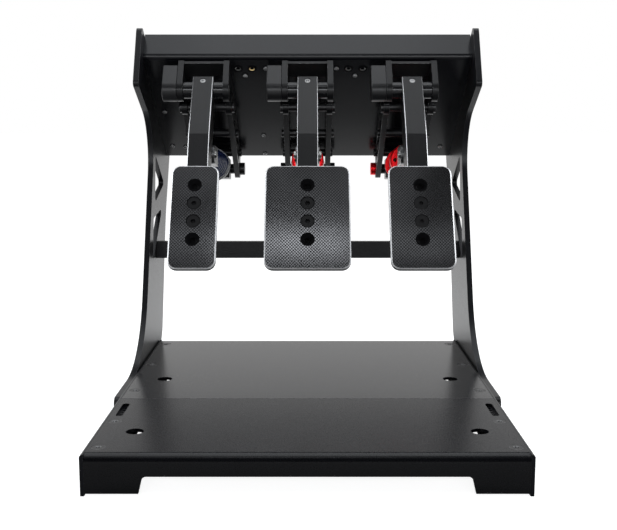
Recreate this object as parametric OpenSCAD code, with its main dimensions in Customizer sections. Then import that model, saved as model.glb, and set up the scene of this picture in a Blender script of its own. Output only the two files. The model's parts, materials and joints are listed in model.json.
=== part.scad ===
// Hanging three-pedal set: a floor tray, two C-shaped uprights and a sloping deck
// that carries a clutch, a brake and a throttle module. Millimetres, +Z up.
// The origin lies on the ground, in the middle of the set's width and depth.

/* [Base] */
// Width of the floor between the two cheeks
floor_w = 344; // [320:1:380]
// Depth of the front floor plate, from the fascia to the seam
front_plate_d = 150; // [144:1:170]
// Depth of the rear floor plate, behind the seam
rear_plate_d = 241; // [236:1:260]
// Height of the floor's top face
floor_h = 33.3; // [31:0.1:40]
// Thickness of the floor and cheek sheet
sheet_t = 3; // [2:0.5:3.5]
// Outside radius of the folded edges of the floor plates
bend_r = 7; // [5:0.5:9]
// Gap between the two floor plates at the seam
seam_gap = 0.6; // [0.2:0.1:1]
// Height of the fascia's lower edge between its legs
fascia_low = 15.7; // [12:0.1:20]
// Height of the lower end of the fascia's legs
leg_clear = 2; // [1:0.5:4]
// Width of each fascia leg at its root
leg_w = 45; // [35:1:55]
// How much narrower each leg is at its foot
leg_taper = 4; // [2:0.5:8]
// Corner radius of the cut between the legs
leg_r = 4; // [2:0.5:5]
// Height of the folded lip at the back of the floor
rear_lip_h = 22; // [14:1:26]
// Width of the cheeks' upper flange, which carries the floor
cheek_flange_w = 20; // [18:1:22]
// Width of the cheeks' lower flange, which stands on the ground
cheek_lip_w = 14; // [10:1:18]

/* [Floor holes] */
// Diameter of the four holes that bolt the set to a rig
rig_hole_d = 14.8; // [8:0.1:18]
// Distance of the rig holes from the floor's side edges
rig_hole_inset = 29.75; // [29:0.25:36]
// Distance of the front rig holes from the fascia
rig_hole_y = 56; // [45:1:70]
// Distance between the front and the rear rig holes
rig_hole_pitch = 162; // [150:1:180]
// Distance of the floor screws from the floor's side edges
floor_screw_inset = 8; // [7.5:0.5:11]
// Head diameter of the floor screws
floor_screw_head = 11.5; // [9:0.5:13]
// Thread diameter of the floor screws
floor_screw_d = 6; // [4:0.5:6]
// Distances of the front plate's screws from the fascia
front_screw_y = [18, 83]; // [12:1:140]
// Distances of the rear plate's screws from the seam
rear_screw_y = [27, 125, 218]; // [12:1:228]
// Width of the two slots beside the seam
slot_w = 6.4; // [5:0.1:8]
// Length of the two slots beside the seam
slot_l = 37; // [30:1:40]
// Distance from the seam to the middle of a slot
slot_back = 34; // [26:1:38]
// Diameter of the adjusting holes under each slot
slot_hole_d = 4; // [3:0.5:5]
// Distance between the adjusting holes under each slot
slot_hole_pitch = 6.5; // [5.5:0.5:9]

/* [Uprights] */
// Thickness of the two side uprights
upright_t = 6; // [4:0.5:8]
// Distance from the seam back to the front end of an upright's foot
foot_setback = 8; // [4:1:16]
// Height of the top edge of the foot
foot_top = 31; // [27:0.5:34]
// Height of the lower edge of the foot
foot_clear = 2; // [1:0.5:6]
// Height of the foot's upper corner at its back end
foot_back = 23; // [20:0.5:26]
// Radius of the foot's lower corners
foot_r = 4; // [2:0.5:6]
// Radius of the foot's upper corners
toe_r = 6; // [3:0.5:8]
// Distance from the foot's front end to the throat of the C
throat_y = 134; // [124:1:150]
// Radius of the throat of the C
throat_r = 105; // [80:1:115]
// Hollow of the C: back from the foot's front end and up from the ground
hollow = [236, 277]; // [200:1:300]
// Radius of the hollow of the C
hollow_r = 55; // [40:1:60]
// Nose under the front corner, measured like the hollow
nose = [138, 325]; // [100:1:400]
// Radius of the nose
nose_r = 5; // [2:0.5:8]
// Top front corner, measured like the hollow
brow = [170, 388]; // [100:1:420]
// Radius of the top front corner
brow_r = 6; // [3:0.5:10]
// Top back corner, measured like the hollow
tail = [354, 260]; // [200:1:400]
// Radius of the top back corner
tail_r = 8; // [4:0.5:12]
// Bend in the back edge, measured like the hollow
spine = [304, 175]; // [100:1:350]
// Radius of the bend in the back edge
spine_r = 150; // [80:5:180]
// Lower back bend, measured like the hollow
heel = [258, 38]; // [30:1:300]
// Radius of the lower back bend
heel_r = 30; // [15:1:40]
// Distance from the foot's front end to its back end
foot_l = 240; // [232:1:248]
// Distances from the foot's front end to its bolts
foot_bolt_y = [32, 122, 212]; // [15:1:225]
// Upper corner of the upper truss window, measured like the hollow
high_window_top = [237, 250]; // [180:1:310]
// Back corner of the upper truss window, measured like the hollow
high_window_back = [296, 214]; // [180:1:310]
// Front corner of the upper truss window, measured like the hollow
high_window_front = [227, 196]; // [180:1:310]
// Back corner of the lower truss window, measured like the hollow
low_window_back = [277, 186]; // [120:1:290]
// Lower corner of the lower truss window, measured like the hollow
low_window_foot = [200, 128]; // [120:1:290]
// Front corner of the lower truss window, measured like the hollow
low_window_front = [214, 179]; // [120:1:290]
// Corner radius of the truss windows
window_r = 4; // [2:0.5:6]

/* [Cross bar] */
// Height of the rear cross bar's section
bar_h = 19.4; // [14:0.1:24]
// Thickness of the rear cross bar
bar_t = 8; // [6:0.5:12]
// Distance from the foot's front end to the cross bar's front face
bar_y = 230; // [226:1:240]
// Height of the cross bar's lower face
bar_z = 131; // [120:1:134]
// Thread diameter of the cross bar's bolts
bar_bolt_d = 5; // [4:0.5:6]
// How far the bolts reach into the cross bar
bar_bite = 12; // [8:1:20]

/* [Deck] */
// Slope of the deck, down towards the back
deck_tilt = 36; // [30:0.5:40]
// Distance of the deck's front corner behind the uprights' top front corner
deck_setback = -2; // [-6:0.5:6]
// Distance of the deck's front corner below the uprights' top front corner
deck_drop = 33; // [28:0.5:38]
// Length of the deck along its slope
deck_l = 188; // [185:1:194]
// Thickness of the deck sheet
deck_t = 3; // [2:0.5:4]
// Height of the deck's front flange
deck_flange_h = 31; // [24:0.5:34]
// Height of the deck's side flanges
deck_side_h = 18; // [14:0.5:22]
// Height of the deck's back flange
deck_back_h = 14; // [8:0.5:20]
// Outside radius of the deck's front bend
deck_bend_r = 5; // [4:0.5:7]
// Distances along the deck to the bolts through the uprights
deck_bolt_u = [40, 95, 150]; // [20:1:165]

/* [Pedal modules] */
// Distance between neighbouring pedals
pedal_pitch = 110; // [108:1:116]
// Free width between the two side plates of a module
module_gap = 42; // [42:0.5:46]
// Thickness of a module's side plates
plate_t = 6; // [5:0.5:7]
// Pivot of the pedal arm, along the deck and below it
pivot = [14, 33]; // [10:1:60]
// Clevis pin of the push rod at rest, along the deck and below it
clevis = [43, 95]; // [40:1:110]
// Trunnion at the far end of the push rod, along the deck and below it
trunnion = [185, 19]; // [10:1:200]
// Radius of the round ear about the pivot
ear_r = 12; // [11:0.5:13]
// Depth of the rail below the deck
rail_d = 30; // [28:0.5:34]
// Depth of the neck between ear and rail
neck_d = 15; // [12:0.5:18]
// How far the neck reaches in front of the pivot
neck_lead = 6; // [5:0.5:9]
// Radius of the rail's far end about the trunnion
rail_end_r = 11; // [9:0.5:11]
// Distance of the bridge bar between the ears below the deck
bridge_drop = 3; // [0:0.5:5]
// Thickness of the bridge bar between the ears
bridge_t = 3; // [2:0.5:4]
// First cross spacer, along the deck and below it
spacer_a = [50, 28]; // [20:1:60]
// Second cross spacer, along the deck and below it
spacer_b = [108, 21]; // [10:1:110]
// Third cross spacer, along the deck and below it
spacer_c = [165, 9]; // [8:1:170]
// Diameter of the cross spacers
spacer_d = 9; // [8:0.5:10]
// Radius of the boss around the first cross spacer
spacer_boss_r = 8; // [7:0.5:9]
// Thread diameter of the screws in the cross spacers
spacer_screw_d = 4; // [3:0.5:5]
// Head diameter of the screws in the cross spacers
spacer_head_d = 12; // [8:0.5:13]
// Head height of the screws in the cross spacers
spacer_head_h = 3; // [2:0.5:4]
// Margin around the truss cut-outs of the rails
rail_margin = 5; // [4:0.5:6]
// Corner radius of the truss cut-outs of the rails
rail_truss_r = 2; // [1:0.5:2.5]
// Distances along the deck to the rear bolts that hold a module to it
rail_bolt_u = [78, 140]; // [60:1:160]
// How far the bolts that hold a module reach into its side plates
side_bolt_bite = 8; // [6:0.5:9]
// Thread diameter of the bolts that hold a module to the deck
module_bolt_d = 4; // [3:0.5:5]
// Head diameter of the bolts that hold a module to the deck
module_head_d = 7.5; // [6:0.5:9]
// Head height of the bolts that hold a module to the deck
module_head_h = 2.5; // [2:0.5:4]

/* [Pivots] */
// Diameter of the pivot shaft
shaft_d = 10; // [8:0.5:11]
// Outside diameter of the bushes in the ears
bush_d = 16; // [14:0.5:17]
// Outside diameter of the bushes' collars beside the arm
bush_collar_d = 18; // [17.5:0.5:22]
// Running clearance of shafts and rods, on the radius
run_gap = 0.05; // [0.02:0.01:0.1]
// Clearance of screws and pressed pieces, on the radius
fit_gap = 0.02; // [0.01:0.01:0.05]
// Side clearance between moving pieces
side_gap = 0.3; // [0.2:0.05:0.5]

/* [Sensors] */
// Width of a sensor housing beside the left ear
sensor_w = 16; // [12:0.5:18]
// Distance of a sensor housing below the deck
sensor_drop = 9; // [4:0.5:12]
// Wall of a sensor housing
sensor_wall = 2; // [1.5:0.5:2.5]
// Thickness of the circuit boards
board_t = 1.6; // [1:0.1:2]

/* [Arms] */
// Width of a pedal arm
arm_w = 21; // [19:0.5:22]
// Top front corner of the arm, back and up from the pivot
arm_top = [-1, 15.5]; // [-20:0.5:20]
// Kink in the arm's front face, back and up from the pivot
arm_kink = [-51, -45]; // [-80:0.5:0]
// Lean of the lower arm and the pad from the vertical
arm_lean = 29; // [25:0.5:33]
// Length of the lower arm below the kink
arm_low = 140; // [136:1:150]
// Depth of the arm at its top
arm_depth_top = 24; // [22:0.5:27]
// Depth of the arm at the kink
arm_depth_mid = 34; // [32:0.5:36]
// Depth of the arm behind the pad
arm_depth_low = 21; // [20:0.5:26]
// Depth of the arm at its lower end
arm_depth_end = 14; // [12:0.5:18]
// Distance from the kink down to the waist in the arm's back edge
arm_waist = 77; // [70:1:90]
// Radius of the arm's front corners at its top and lower end
arm_front_r = 3; // [1:0.5:5]
// Radius of the kink in the arm's front face
kink_r = 4; // [2:0.5:10]
// Radius of the arm's back corner at its lower end
arm_end_r = 5; // [3:0.5:7]
// Radius of the waist in the arm's back edge
waist_r = 60; // [40:5:80]
// Radius of the arm's back edge behind the kink
arm_back_r = 20; // [10:1:30]
// Radius of the arm's back corner at its top
arm_top_r = 8; // [4:0.5:10]
// Thickness of the lug that takes the clevis pin
lug_w = 12; // [10:0.5:13]
// Radius of the lug about the clevis pin
lug_r = 11; // [9.5:0.5:12]
// Diameter of the set screw in the arm's front face
set_screw_d = 6; // [5:0.5:7]
// Distance of the set screw above the pivot, along the front face
set_screw_rise = 4; // [0:0.5:5]

/* [Pads] */
// Width of the clutch pad
clutch_pad_w = 46; // [40:1:60]
// Width of the brake pad
brake_pad_w = 83; // [70:1:90]
// Width of the throttle pad
throttle_pad_w = 62; // [50:1:70]
// Height of the pads
pad_h = 108.5; // [100:0.5:114]
// Thickness of the pads
pad_t = 5; // [4.5:0.5:7]
// Corner radius of the pads
pad_r = 9; // [6:0.5:12]
// Distance from the kink down to the top of a pad
pad_drop = 42; // [36:1:46]
// Gap between the arm and a pad, filled by spacer sleeves
pad_standoff = 7; // [5:0.5:9]
// Distance between the holes of a pad
pad_hole_pitch = 19; // [17:0.5:21]
// How far the row of holes lies above the middle of the pad
pad_hole_rise = 4.5; // [0:0.5:6]
// Thread diameter of the pad screws
pad_screw_d = 6; // [5:0.5:7]
// Diameter of the countersinks in a pad
pad_sink_d = 14; // [12:0.5:14.5]
// Depth of the countersinks in a pad
pad_sink_h = 4; // [3.5:0.5:4]
// Outside diameter of the spacer sleeves behind a pad
sleeve_d = 14; // [11:0.5:16]
// Length of the pad screws inside the arm
pad_screw_bite = 10; // [8:0.5:11]

/* [Spring units] */
// Diameter of the clevis pin
clevis_pin_d = 8; // [7:0.5:9]
// How far the clevis pin stands out beside the fork
clevis_pin_proud = 2; // [0:0.5:3]
// Clearance of the fork's eye round the clevis pin, on the radius
clevis_play = 0.9; // [0.8:0.05:1.2]
// Overall width of the fork
fork_w = 25; // [24:0.5:27]
// Radius of the fork's eyes and half its height
fork_r = 10; // [9:0.5:10.5]
// Distance from the clevis pin to the fork's crotch
fork_crotch = 14; // [13:0.5:16]
// Length of the fork behind the clevis pin
fork_l = 30; // [28:0.5:33]
// Distance from the fork's crotch to the end of the push rod
rod_seat = 3; // [2:0.5:5]
// Diameter of the push rod
rod_d = 10; // [8:0.5:10.5]
// How far the push rod stands out behind the trunnion block
rod_tail = 4; // [2:0.5:8]
// Width across the flats of the jam nut
nut_w = 16; // [15:0.5:18]
// Height of the jam nut
nut_h = 5; // [4:0.5:7]
// Distance from the clevis pin to the front face of the preload collar
collar_s = 56; // [54:0.5:58]
// Diameter of the preload collar
collar_d = 36; // [33:0.5:37]
// Thickness of the preload collar
collar_t = 8; // [6:0.5:9]
// Radius of the preload collar's rounded front edge
collar_round = 2.5; // [1:0.5:2.5]
// Radius of the ring of wrench holes in the preload collar
collar_hole_ring = 12.5; // [11.5:0.5:13]
// Diameter of the wrench holes in the preload collar
collar_hole_d = 4; // [3:0.5:4.5]
// Distance from the clevis pin to the front face of the clutch's preload collar
clutch_collar_s = 40; // [37:0.5:46]
// Diameter of the clutch's preload collar
clutch_collar_d = 22; // [21:0.5:24]
// Radius of the ring of wrench holes in the clutch's preload collar
clutch_hole_ring = 8; // [7.5:0.5:8.5]
// Diameter of the wrench holes in the clutch's preload collar
clutch_hole_d = 3; // [2:0.5:3]
// Distance from the clevis pin to the front face of the spring seat
seat_s = 104.5; // [103:0.5:107]
// Diameter of the spring seat
seat_d = 39; // [36:0.5:40]
// Thickness of the spring seat
seat_t = 5; // [4:0.5:7]
// Radius of the rims of the spring seat and of the collar's back
seat_round = 1; // [0.5:0.5:1.5]
// Outside diameter of the throttle's coil spring
spring_d = 30; // [28:0.5:32]
// Wire diameter of the throttle's coil spring
wire_d = 2.8; // [2:0.1:3]
// Number of turns of the throttle's coil spring
spring_turns = 6; // [5:0.5:6.5]
// Outside diameter of the clutch's tapered spring at its front end
clutch_spring_front_d = 22; // [21:0.5:24]
// Outside diameter of the clutch's tapered spring at its back end
clutch_spring_d = 36; // [32:0.5:38]
// Wire diameter of the clutch's tapered spring
clutch_wire_d = 3; // [2:0.1:3.2]
// Number of turns of the clutch's tapered spring
clutch_turns = 6; // [5:0.5:7]
// Gap between a soft piece and its seats
soft_gap = 0.3; // [0.2:0.05:0.5]
// Diameter of the brake's rubber bumpers
bumper_d = 32; // [28:0.5:34]
// Clearance of the bumpers round the push rod, on the radius
bumper_play = 0.5; // [0.2:0.1:1]
// Diameter of the washers between the bumpers
washer_d = 30; // [26:0.5:34]
// Thickness of the washers between the bumpers
washer_t = 1.5; // [1:0.5:2]
// Diameter of the guide tube on the trunnion block
guide_d = 18; // [16:0.5:20]
// Width of the trunnion block
block_w = 30; // [28:0.5:34]
// Half length and half height of the trunnion block
block_half = 12; // [11:0.5:12]
// Diameter of the trunnion's journals
journal_d = 12; // [10:0.5:13]
// Diameter of the caps over the journals
cap_d = 15; // [14:0.5:17]
// Thickness of the caps over the journals
cap_t = 6; // [4:0.5:7]

/* [Electronics and small screws] */
// Width of the controller case
case_w = 190; // [184:1:200]
// Length of the controller case along the deck
case_l = 58; // [52:1:64]
// Height of the controller case above the deck
case_h = 20; // [17:0.5:22]
// Wall of the controller case
case_wall = 2; // [1.5:0.5:2.5]
// Gap between the deck's front flange and the controller case
case_gap = 3; // [2:0.5:6]
// Diameter of the posts inside the controller case
case_post_d = 6; // [5:0.5:8]
// Gap between the circuit board and the walls of its case
board_gap = 0.5; // [0.3:0.1:1]
// Height of the circuit board above the deck
board_rise = 8; // [7:0.5:10]
// Diameter of the jack sockets in the deck
jack_d = 9.6; // [9:0.1:10.5]
// Diameter of the jacks' inner holes
jack_hole_d = 5; // [3.5:0.5:6]
// Places of the jacks across the deck
jack_x = [-75, -60, 44, 59.5]; // [-88:0.5:88]
// Distance of the jacks from the deck's front edge
jack_u = 19; // [16:0.5:24]
// How far the jacks stand out below the deck
jack_proud = 0.8; // [0.5:0.1:2]
// Thread diameter of the frame bolts
bolt_d = 6; // [5:0.5:6]
// Head diameter of the frame bolts
bolt_head_d = 10.5; // [9:0.5:12]
// Head height of the frame bolts
bolt_head_h = 3.3; // [2.5:0.1:4]
// Thread diameter of the small screws in the deck
deck_screw_d = 3; // [2.5:0.5:4]
// Head diameter of the small screws in the deck
deck_screw_head = 6; // [5:0.5:7]
// Head height of the small screws in the deck
deck_screw_head_h = 1.6; // [1:0.1:2.5]
// Outer screws of the controller case: across the deck and along it
case_outer_screws = [[-68, 30], [51.5, 30]]; // [-88:0.5:88]
// Inner screws of the controller case: across the deck and along it
case_inner_screws = [[-45, 18], [31, 18]]; // [-88:0.5:88]
// Screws beside the brake module: across the deck and in from its back edge
middle_screws = [[-52.5, 47], [-52.5, 9]]; // [-60:0.5:60]
// Screws beside the left upright: in from it and from the deck's back edge
left_screws = [[11, 25], [26.5, 23], [10.5, 93]]; // [8:0.5:100]
// Screws beside the right upright: in from it and from the deck's back edge
right_screws = [[14, 24]]; // [8:0.5:100]

/* [Hidden] */
$fn = 48;
// Largest angle between two points of a rounded corner
arc_step = 6;
// Overlap of cutting tools past the face that they cut
past = 1;
// Share of the sheet's thickness that rounds the cheeks' upper edges
cheek_round_share = 0.8;
// Width of a screw's hexagon socket, as a share of its thread diameter
socket_share = 0.75;

upright_y = front_plate_d + foot_setback;
upright_outline = rounded([
    [0, foot_clear, foot_r], [0, foot_top, toe_r], [throat_y, foot_top, throat_r],
    [hollow.x, hollow.y, hollow_r], [nose.x, nose.y, nose_r], [brow.x, brow.y, brow_r],
    [tail.x, tail.y, tail_r], [spine.x, spine.y, spine_r], [heel.x, heel.y, heel_r],
    [foot_l, foot_back, toe_r], [foot_l, foot_clear, foot_r]]);
upright_windows = [[high_window_top, high_window_back, high_window_front],
                   [low_window_back, low_window_foot, low_window_front]];
overall_d = upright_y + max([for (p = upright_outline) p.x]);
inner_x = floor_w / 2 + sheet_t;
outer_x = inner_x + upright_t;
floor_under = floor_h - sheet_t;
deck_y = upright_y + brow.x + deck_setback;
deck_z = brow.y - deck_drop;
rig_x = floor_w / 2 - rig_hole_inset;
floor_screw_x = floor_w / 2 - floor_screw_inset;
floor_screw_y = [each front_screw_y, for (y = rear_screw_y) front_plate_d + y];
deck_screws_xu = [each case_outer_screws, each case_inner_screws,
                  for (p = middle_screws) [p.x, deck_l - p.y],
                  for (p = left_screws) [p.x - inner_x, deck_l - p.y],
                  for (p = right_screws) [inner_x - p.x, deck_l - p.y]];
case_u = deck_t + case_gap;
plate_in = module_gap / 2;
plate_out = plate_in + plate_t;
side_bolt_u = [pivot.x, each rail_bolt_u];
spacers = [spacer_a, spacer_b, spacer_c];
stack_tilt = atan2(clevis.y - trunnion.y, trunnion.x - clevis.x);
stack_l = norm(trunnion - clevis);
spring_s = collar_s + collar_t + soft_gap;
spring_l = seat_s - soft_gap - spring_s;
clutch_spring_s = clutch_collar_s + collar_t + soft_gap;
clutch_spring_l = seat_s - soft_gap - clutch_spring_s;
// Points to a turn along a coil, and round its wire
coil_rings = 8;
coil_sides = 6;
throttle_coil = coil_points(spring_d, spring_d, wire_d, spring_turns, spring_l);
clutch_coil = coil_points(clutch_spring_front_d, clutch_spring_d, clutch_wire_d, clutch_turns,
                          clutch_spring_l);
echo(coil_least_gaps = [coil_gap(throttle_coil, wire_d), coil_gap(clutch_coil, clutch_wire_d)]);
lug = deck_to_world(clevis - pivot);
low_dir = [-sin(arm_lean), -cos(arm_lean)];
low_back = [cos(arm_lean), -sin(arm_lean)];
up_dir = unit(arm_top - arm_kink);
up_back = [up_dir.y, -up_dir.x];
arm_rear_top = arm_top + arm_depth_top * up_back;
arm_rear_mid = arm_kink + arm_depth_mid * unit(up_back + low_back);
arm_rear_low = arm_kink + arm_waist * low_dir + arm_depth_low * low_back;
arm_end = arm_kink + arm_low * low_dir;
arm_rear_end = arm_end + arm_depth_end * low_back;
// Point on the arm's front face that is nearest the pivot
arm_face = arm_top - (arm_top * up_dir) * up_dir;
set_screw_at = arm_face + set_screw_rise * up_dir;
pad_mid = pad_drop + pad_h / 2;
pad_holes = [for (i = [-1.5 : 1.5]) -pad_mid + pad_hole_rise + i * pad_hole_pitch];
black = [0.16, 0.16, 0.17];
dark = [0.1, 0.1, 0.11];
steel = [0.75, 0.75, 0.77];
red = [0.75, 0.05, 0.06];
navy = [0.08, 0.13, 0.3];

clutch_x = -pedal_pitch;
brake_x = 0;
throttle_x = pedal_pitch;
pedal_xs = [clutch_x, brake_x, throttle_x];

// Points and outlines

function unit(v) = v / norm(v);

// Turns a step along and below the deck into a step back and up
function deck_to_world(v) = [v.x * cos(deck_tilt) - v.y * sin(deck_tilt),
                             -v.x * sin(deck_tilt) - v.y * cos(deck_tilt)];

// Points of the arc of radius r that rounds corner b between a and c
function corner(a, b, c, r) =
    let(u = unit(a - b), v = unit(c - b), half = acos(u * v) / 2,
        mid = b + unit(u + v) * r / sin(half),
        start = b + u * r / tan(half) - mid,
        stop = b + v * r / tan(half) - mid,
        first = atan2(start.y, start.x),
        turn = (atan2(stop.y, stop.x) - first + 540) % 360 - 180,
        steps = ceil(abs(turn) / arc_step))
    [for (i = [0 : steps]) mid + r * [cos(first + turn * i / steps), sin(first + turn * i / steps)]];

// Outline whose corners are given as [x, y, radius]
function rounded(points) =
    let(count = len(points), flat = [for (p = points) [p.x, p.y]])
    [for (i = [0 : count - 1])
        each points[i].z == 0 ? [flat[i]]
            : corner(flat[(i + count - 1) % count], flat[i], flat[(i + 1) % count], points[i].z)];

// A coil's middle line: straight ends of one wire's length, joined by turns that may widen to the back
function coil_points(front_d, back_d, wire, turns, length) =
    let(steps = round(turns * coil_rings), pitch = (length - 2 * wire) / turns,
        radius = function(turn) (front_d + (back_d - front_d) * turn / turns - wire) / 2,
        place = function(turn, rise) [radius(turn) * cos(360 * turn), radius(turn) * sin(360 * turn), rise])
    [place(0, 0),
     for (i = [0 : steps]) let(turn = i * turns / steps) place(turn, wire + pitch * turn),
     place(turns, length)];

// Least distance between a coil's surface and itself, at least half a turn apart
function coil_gap(points, wire) =
    min([for (i = [0 : len(points) - 1], j = [i + coil_rings / 2 : len(points) - 1])
        norm(points[i] - points[j]) - wire]);

// Direction of a coil's middle line at point i
function coil_heading(points, i) =
    i == 0 || i == len(points) - 1 ? [0, 0, 1]
        : unit(unit(points[i + 1] - points[i]) + unit(points[i] - points[i - 1]));

// Ring of points round a coil's wire at point i
function coil_ring(points, wire, i) =
    let(ahead = coil_heading(points, i), out = unit([points[i].x, points[i].y, 0]),
        side = unit(out - (out * ahead) * ahead), up = cross(ahead, side))
    [for (k = [0 : coil_sides - 1])
        points[i] + wire / 2 * (side * cos(360 * k / coil_sides) + up * sin(360 * k / coil_sides))];

// Places and primitives

module from_front() { translate([0, -overall_d / 2, 0]) children(); }

module from_foot() { from_front() translate([0, upright_y, 0]) children(); }

module on_deck() { from_front() translate([0, deck_y, deck_z]) rotate([-deck_tilt, 0, 0]) children(); }

// Origin at a pedal's pivot, with upright axes
module on_pivot(x) {
    on_deck() translate([x, pivot.x, -pivot.y]) rotate([deck_tilt, 0, 0]) children();
}

// Origin at the kink, +Y into the lower arm and +Z up along it
module on_arm(x) {
    on_pivot(x) translate([0, arm_kink.x, arm_kink.y]) rotate([-arm_lean, 0, 0]) children();
}

// Origin at the clevis pin, +Y along the push rod
module on_stack(x) {
    on_deck() translate([x, clevis.x, -clevis.y]) rotate([stack_tilt, 0, 0]) children();
}

// Outline in Y and Z, thick from x0 to x1
module slab(x0, x1) { translate([x0, 0, 0]) rotate([90, 0, 90]) linear_extrude(x1 - x0) children(); }

module round_x(d, x0, x1) { translate([x0, 0, 0]) rotate([0, 90, 0]) cylinder(d = d, h = x1 - x0); }

module round_y(d, y0, y1) { translate([0, y0, 0]) rotate([-90, 0, 0]) cylinder(d = d, h = y1 - y0); }

module block(low, high) { translate(low) cube(high - low); }

module both_sides() {
    children();
    mirror([1, 0, 0]) children();
}

// Floor tray

// Floor sheet from y0 to y1 whose edge at y0 is folded down to z0
module folded_floor(y0, y1, z0) {
    slab(-floor_w / 2, floor_w / 2) polygon(rounded([
        [y1, floor_h, 0], [y0, floor_h, bend_r], [y0, z0, 0], [y0 + sheet_t, z0, 0],
        [y0 + sheet_t, floor_under, bend_r - sheet_t], [y1, floor_under, 0]]));
}

module rig_hole(y) {
    both_sides() translate([rig_x, y, floor_under - past]) cylinder(d = rig_hole_d, h = sheet_t + 2 * past);
}

// Countersunk screw, or its hole when it is grown by a gap
module floor_screw(y, length, gap) {
    sink = (floor_screw_head - floor_screw_d) / 2;
    both_sides() translate([floor_screw_x, y, floor_h]) {
        translate([0, 0, -length]) cylinder(d = floor_screw_d + 2 * gap, h = length);
        translate([0, 0, -sink])
            cylinder(d1 = floor_screw_d + 2 * gap, d2 = floor_screw_head + 2 * gap, h = sink);
    }
}

module slot() {
    both_sides() translate([floor_w / 2 - floor_screw_inset, front_plate_d - slot_back, floor_under - past])
        linear_extrude(sheet_t + 2 * past) {
            square([slot_w, slot_l - slot_w], center = true);
            for (y = [-1, 1]) translate([0, y * (slot_l - slot_w) / 2]) circle(d = slot_w);
        }
}

module floor_front() {
    low_x = floor_w / 2 - leg_w;
    color(black) from_front() difference() {
        folded_floor(0, front_plate_d - seam_gap / 2, leg_clear);
        translate([0, sheet_t + past, 0]) rotate([90, 0, 0]) linear_extrude(sheet_t + 2 * past)
            polygon(rounded([[low_x, fascia_low, leg_r], [-low_x, fascia_low, leg_r],
                             [-low_x - leg_taper, -past, 0], [low_x + leg_taper, -past, 0]]));
        rig_hole(rig_hole_y);
        for (y = front_screw_y) floor_screw(y, 2 * sheet_t + past, fit_gap);
        slot();
    }
}

module floor_rear() {
    back = front_plate_d + rear_plate_d;
    color(black) from_front() difference() {
        translate([0, back, 0]) mirror([0, 1, 0])
            folded_floor(0, rear_plate_d - seam_gap / 2, floor_h - rear_lip_h);
        rig_hole(rig_hole_y + rig_hole_pitch);
        for (y = rear_screw_y) floor_screw(front_plate_d + y, 2 * sheet_t + past, fit_gap);
    }
}

// Right-hand cheek: a wall, a flange under the floor and a flange on the ground
module base_cheek() {
    back = front_plate_d + rear_plate_d;
    fold = bend_r + sheet_t;
    from_front() difference() {
        union() {
            translate([0, back, 0]) rotate([90, 0, 0]) linear_extrude(back) polygon(rounded([
                [floor_w / 2, 0, 0], [inner_x, 0, 0], [inner_x, floor_h, sheet_t * cheek_round_share],
                [floor_w / 2, floor_h, 0]]));
            block([floor_w / 2 - cheek_flange_w, fold, floor_under - sheet_t],
                  [floor_w / 2 + sheet_t / 2, back - fold, floor_under]);
            block([floor_w / 2 - cheek_lip_w, fold, 0], [floor_w / 2 + sheet_t / 2, back - fold, sheet_t]);
        }
        for (y = floor_screw_y) floor_screw(y, 2 * sheet_t + past, fit_gap);
        for (i = [-2 : 2])
            translate([floor_screw_x, front_plate_d - slot_back + i * slot_hole_pitch,
                       floor_under - sheet_t - past])
                cylinder(d = slot_hole_d, h = sheet_t + 2 * past);
        translate([0, upright_y, 0]) foot_bolts(bolt_d + 2 * fit_gap);
    }
}

module base_cheek_right() { color(black) base_cheek(); }

module base_cheek_left() { color(black) mirror([1, 0, 0]) base_cheek(); }

module floor_screws() {
    socket_h = 1.8;
    color(dark) from_front()
        for (y = floor_screw_y)
            difference() {
                floor_screw(y, 2 * sheet_t, 0);
                both_sides() translate([floor_screw_x, y, floor_h - socket_h])
                    cylinder(d = floor_screw_d * socket_share, h = socket_h + past, $fn = 6);
            }
}

// Uprights and cross bar

// Round bars along X where bolts pass the right upright
module foot_bolts(d) {
    for (y = foot_bolt_y)
        translate([0, y, (foot_top + foot_clear) / 2]) round_x(d, floor_w / 2 - past, outer_x + past);
}

module deck_bolts(d) {
    for (u = deck_bolt_u)
        translate([0, u, (deck_t + deck_side_h) / 2]) round_x(d, inner_x - deck_t - past, outer_x + past);
}

module bar_bolts(d) {
    for (side = [-1, 1])
        translate([0, bar_y + bar_t / 2, bar_z + bar_h / 2 + side * bar_h / 4])
            round_x(d, inner_x - bar_bite, outer_x + past);
}

module upright() {
    difference() {
        from_foot() slab(inner_x, outer_x) difference() {
            polygon(upright_outline);
            for (w = upright_windows)
                polygon(rounded([for (p = w) [p.x, p.y, window_r]]));
        }
        from_foot() foot_bolts(bolt_d + 2 * fit_gap);
        from_foot() bar_bolts(bar_bolt_d + 2 * fit_gap);
        on_deck() deck_bolts(bolt_d + 2 * fit_gap);
    }
}

module upright_right() { color(black) upright(); }

module upright_left() { color(black) mirror([1, 0, 0]) upright(); }

module rear_crossbar() {
    color(dark) difference() {
        from_foot() block([-inner_x, bar_y, bar_z], [inner_x, bar_y + bar_t, bar_z + bar_h]);
        both_sides() from_foot() bar_bolts(bar_bolt_d + 2 * fit_gap);
    }
}

// Button-head bolt along -X, with the underside of its head at the origin
module bolt(d, head_d, head_h, length) {
    difference() {
        union() {
            round_x(d, -length, 0);
            round_x(head_d, 0, head_h);
        }
        translate([head_h / 2, 0, 0]) rotate([0, 90, 0]) cylinder(d = d * socket_share, h = head_h, $fn = 6);
    }
}

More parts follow.
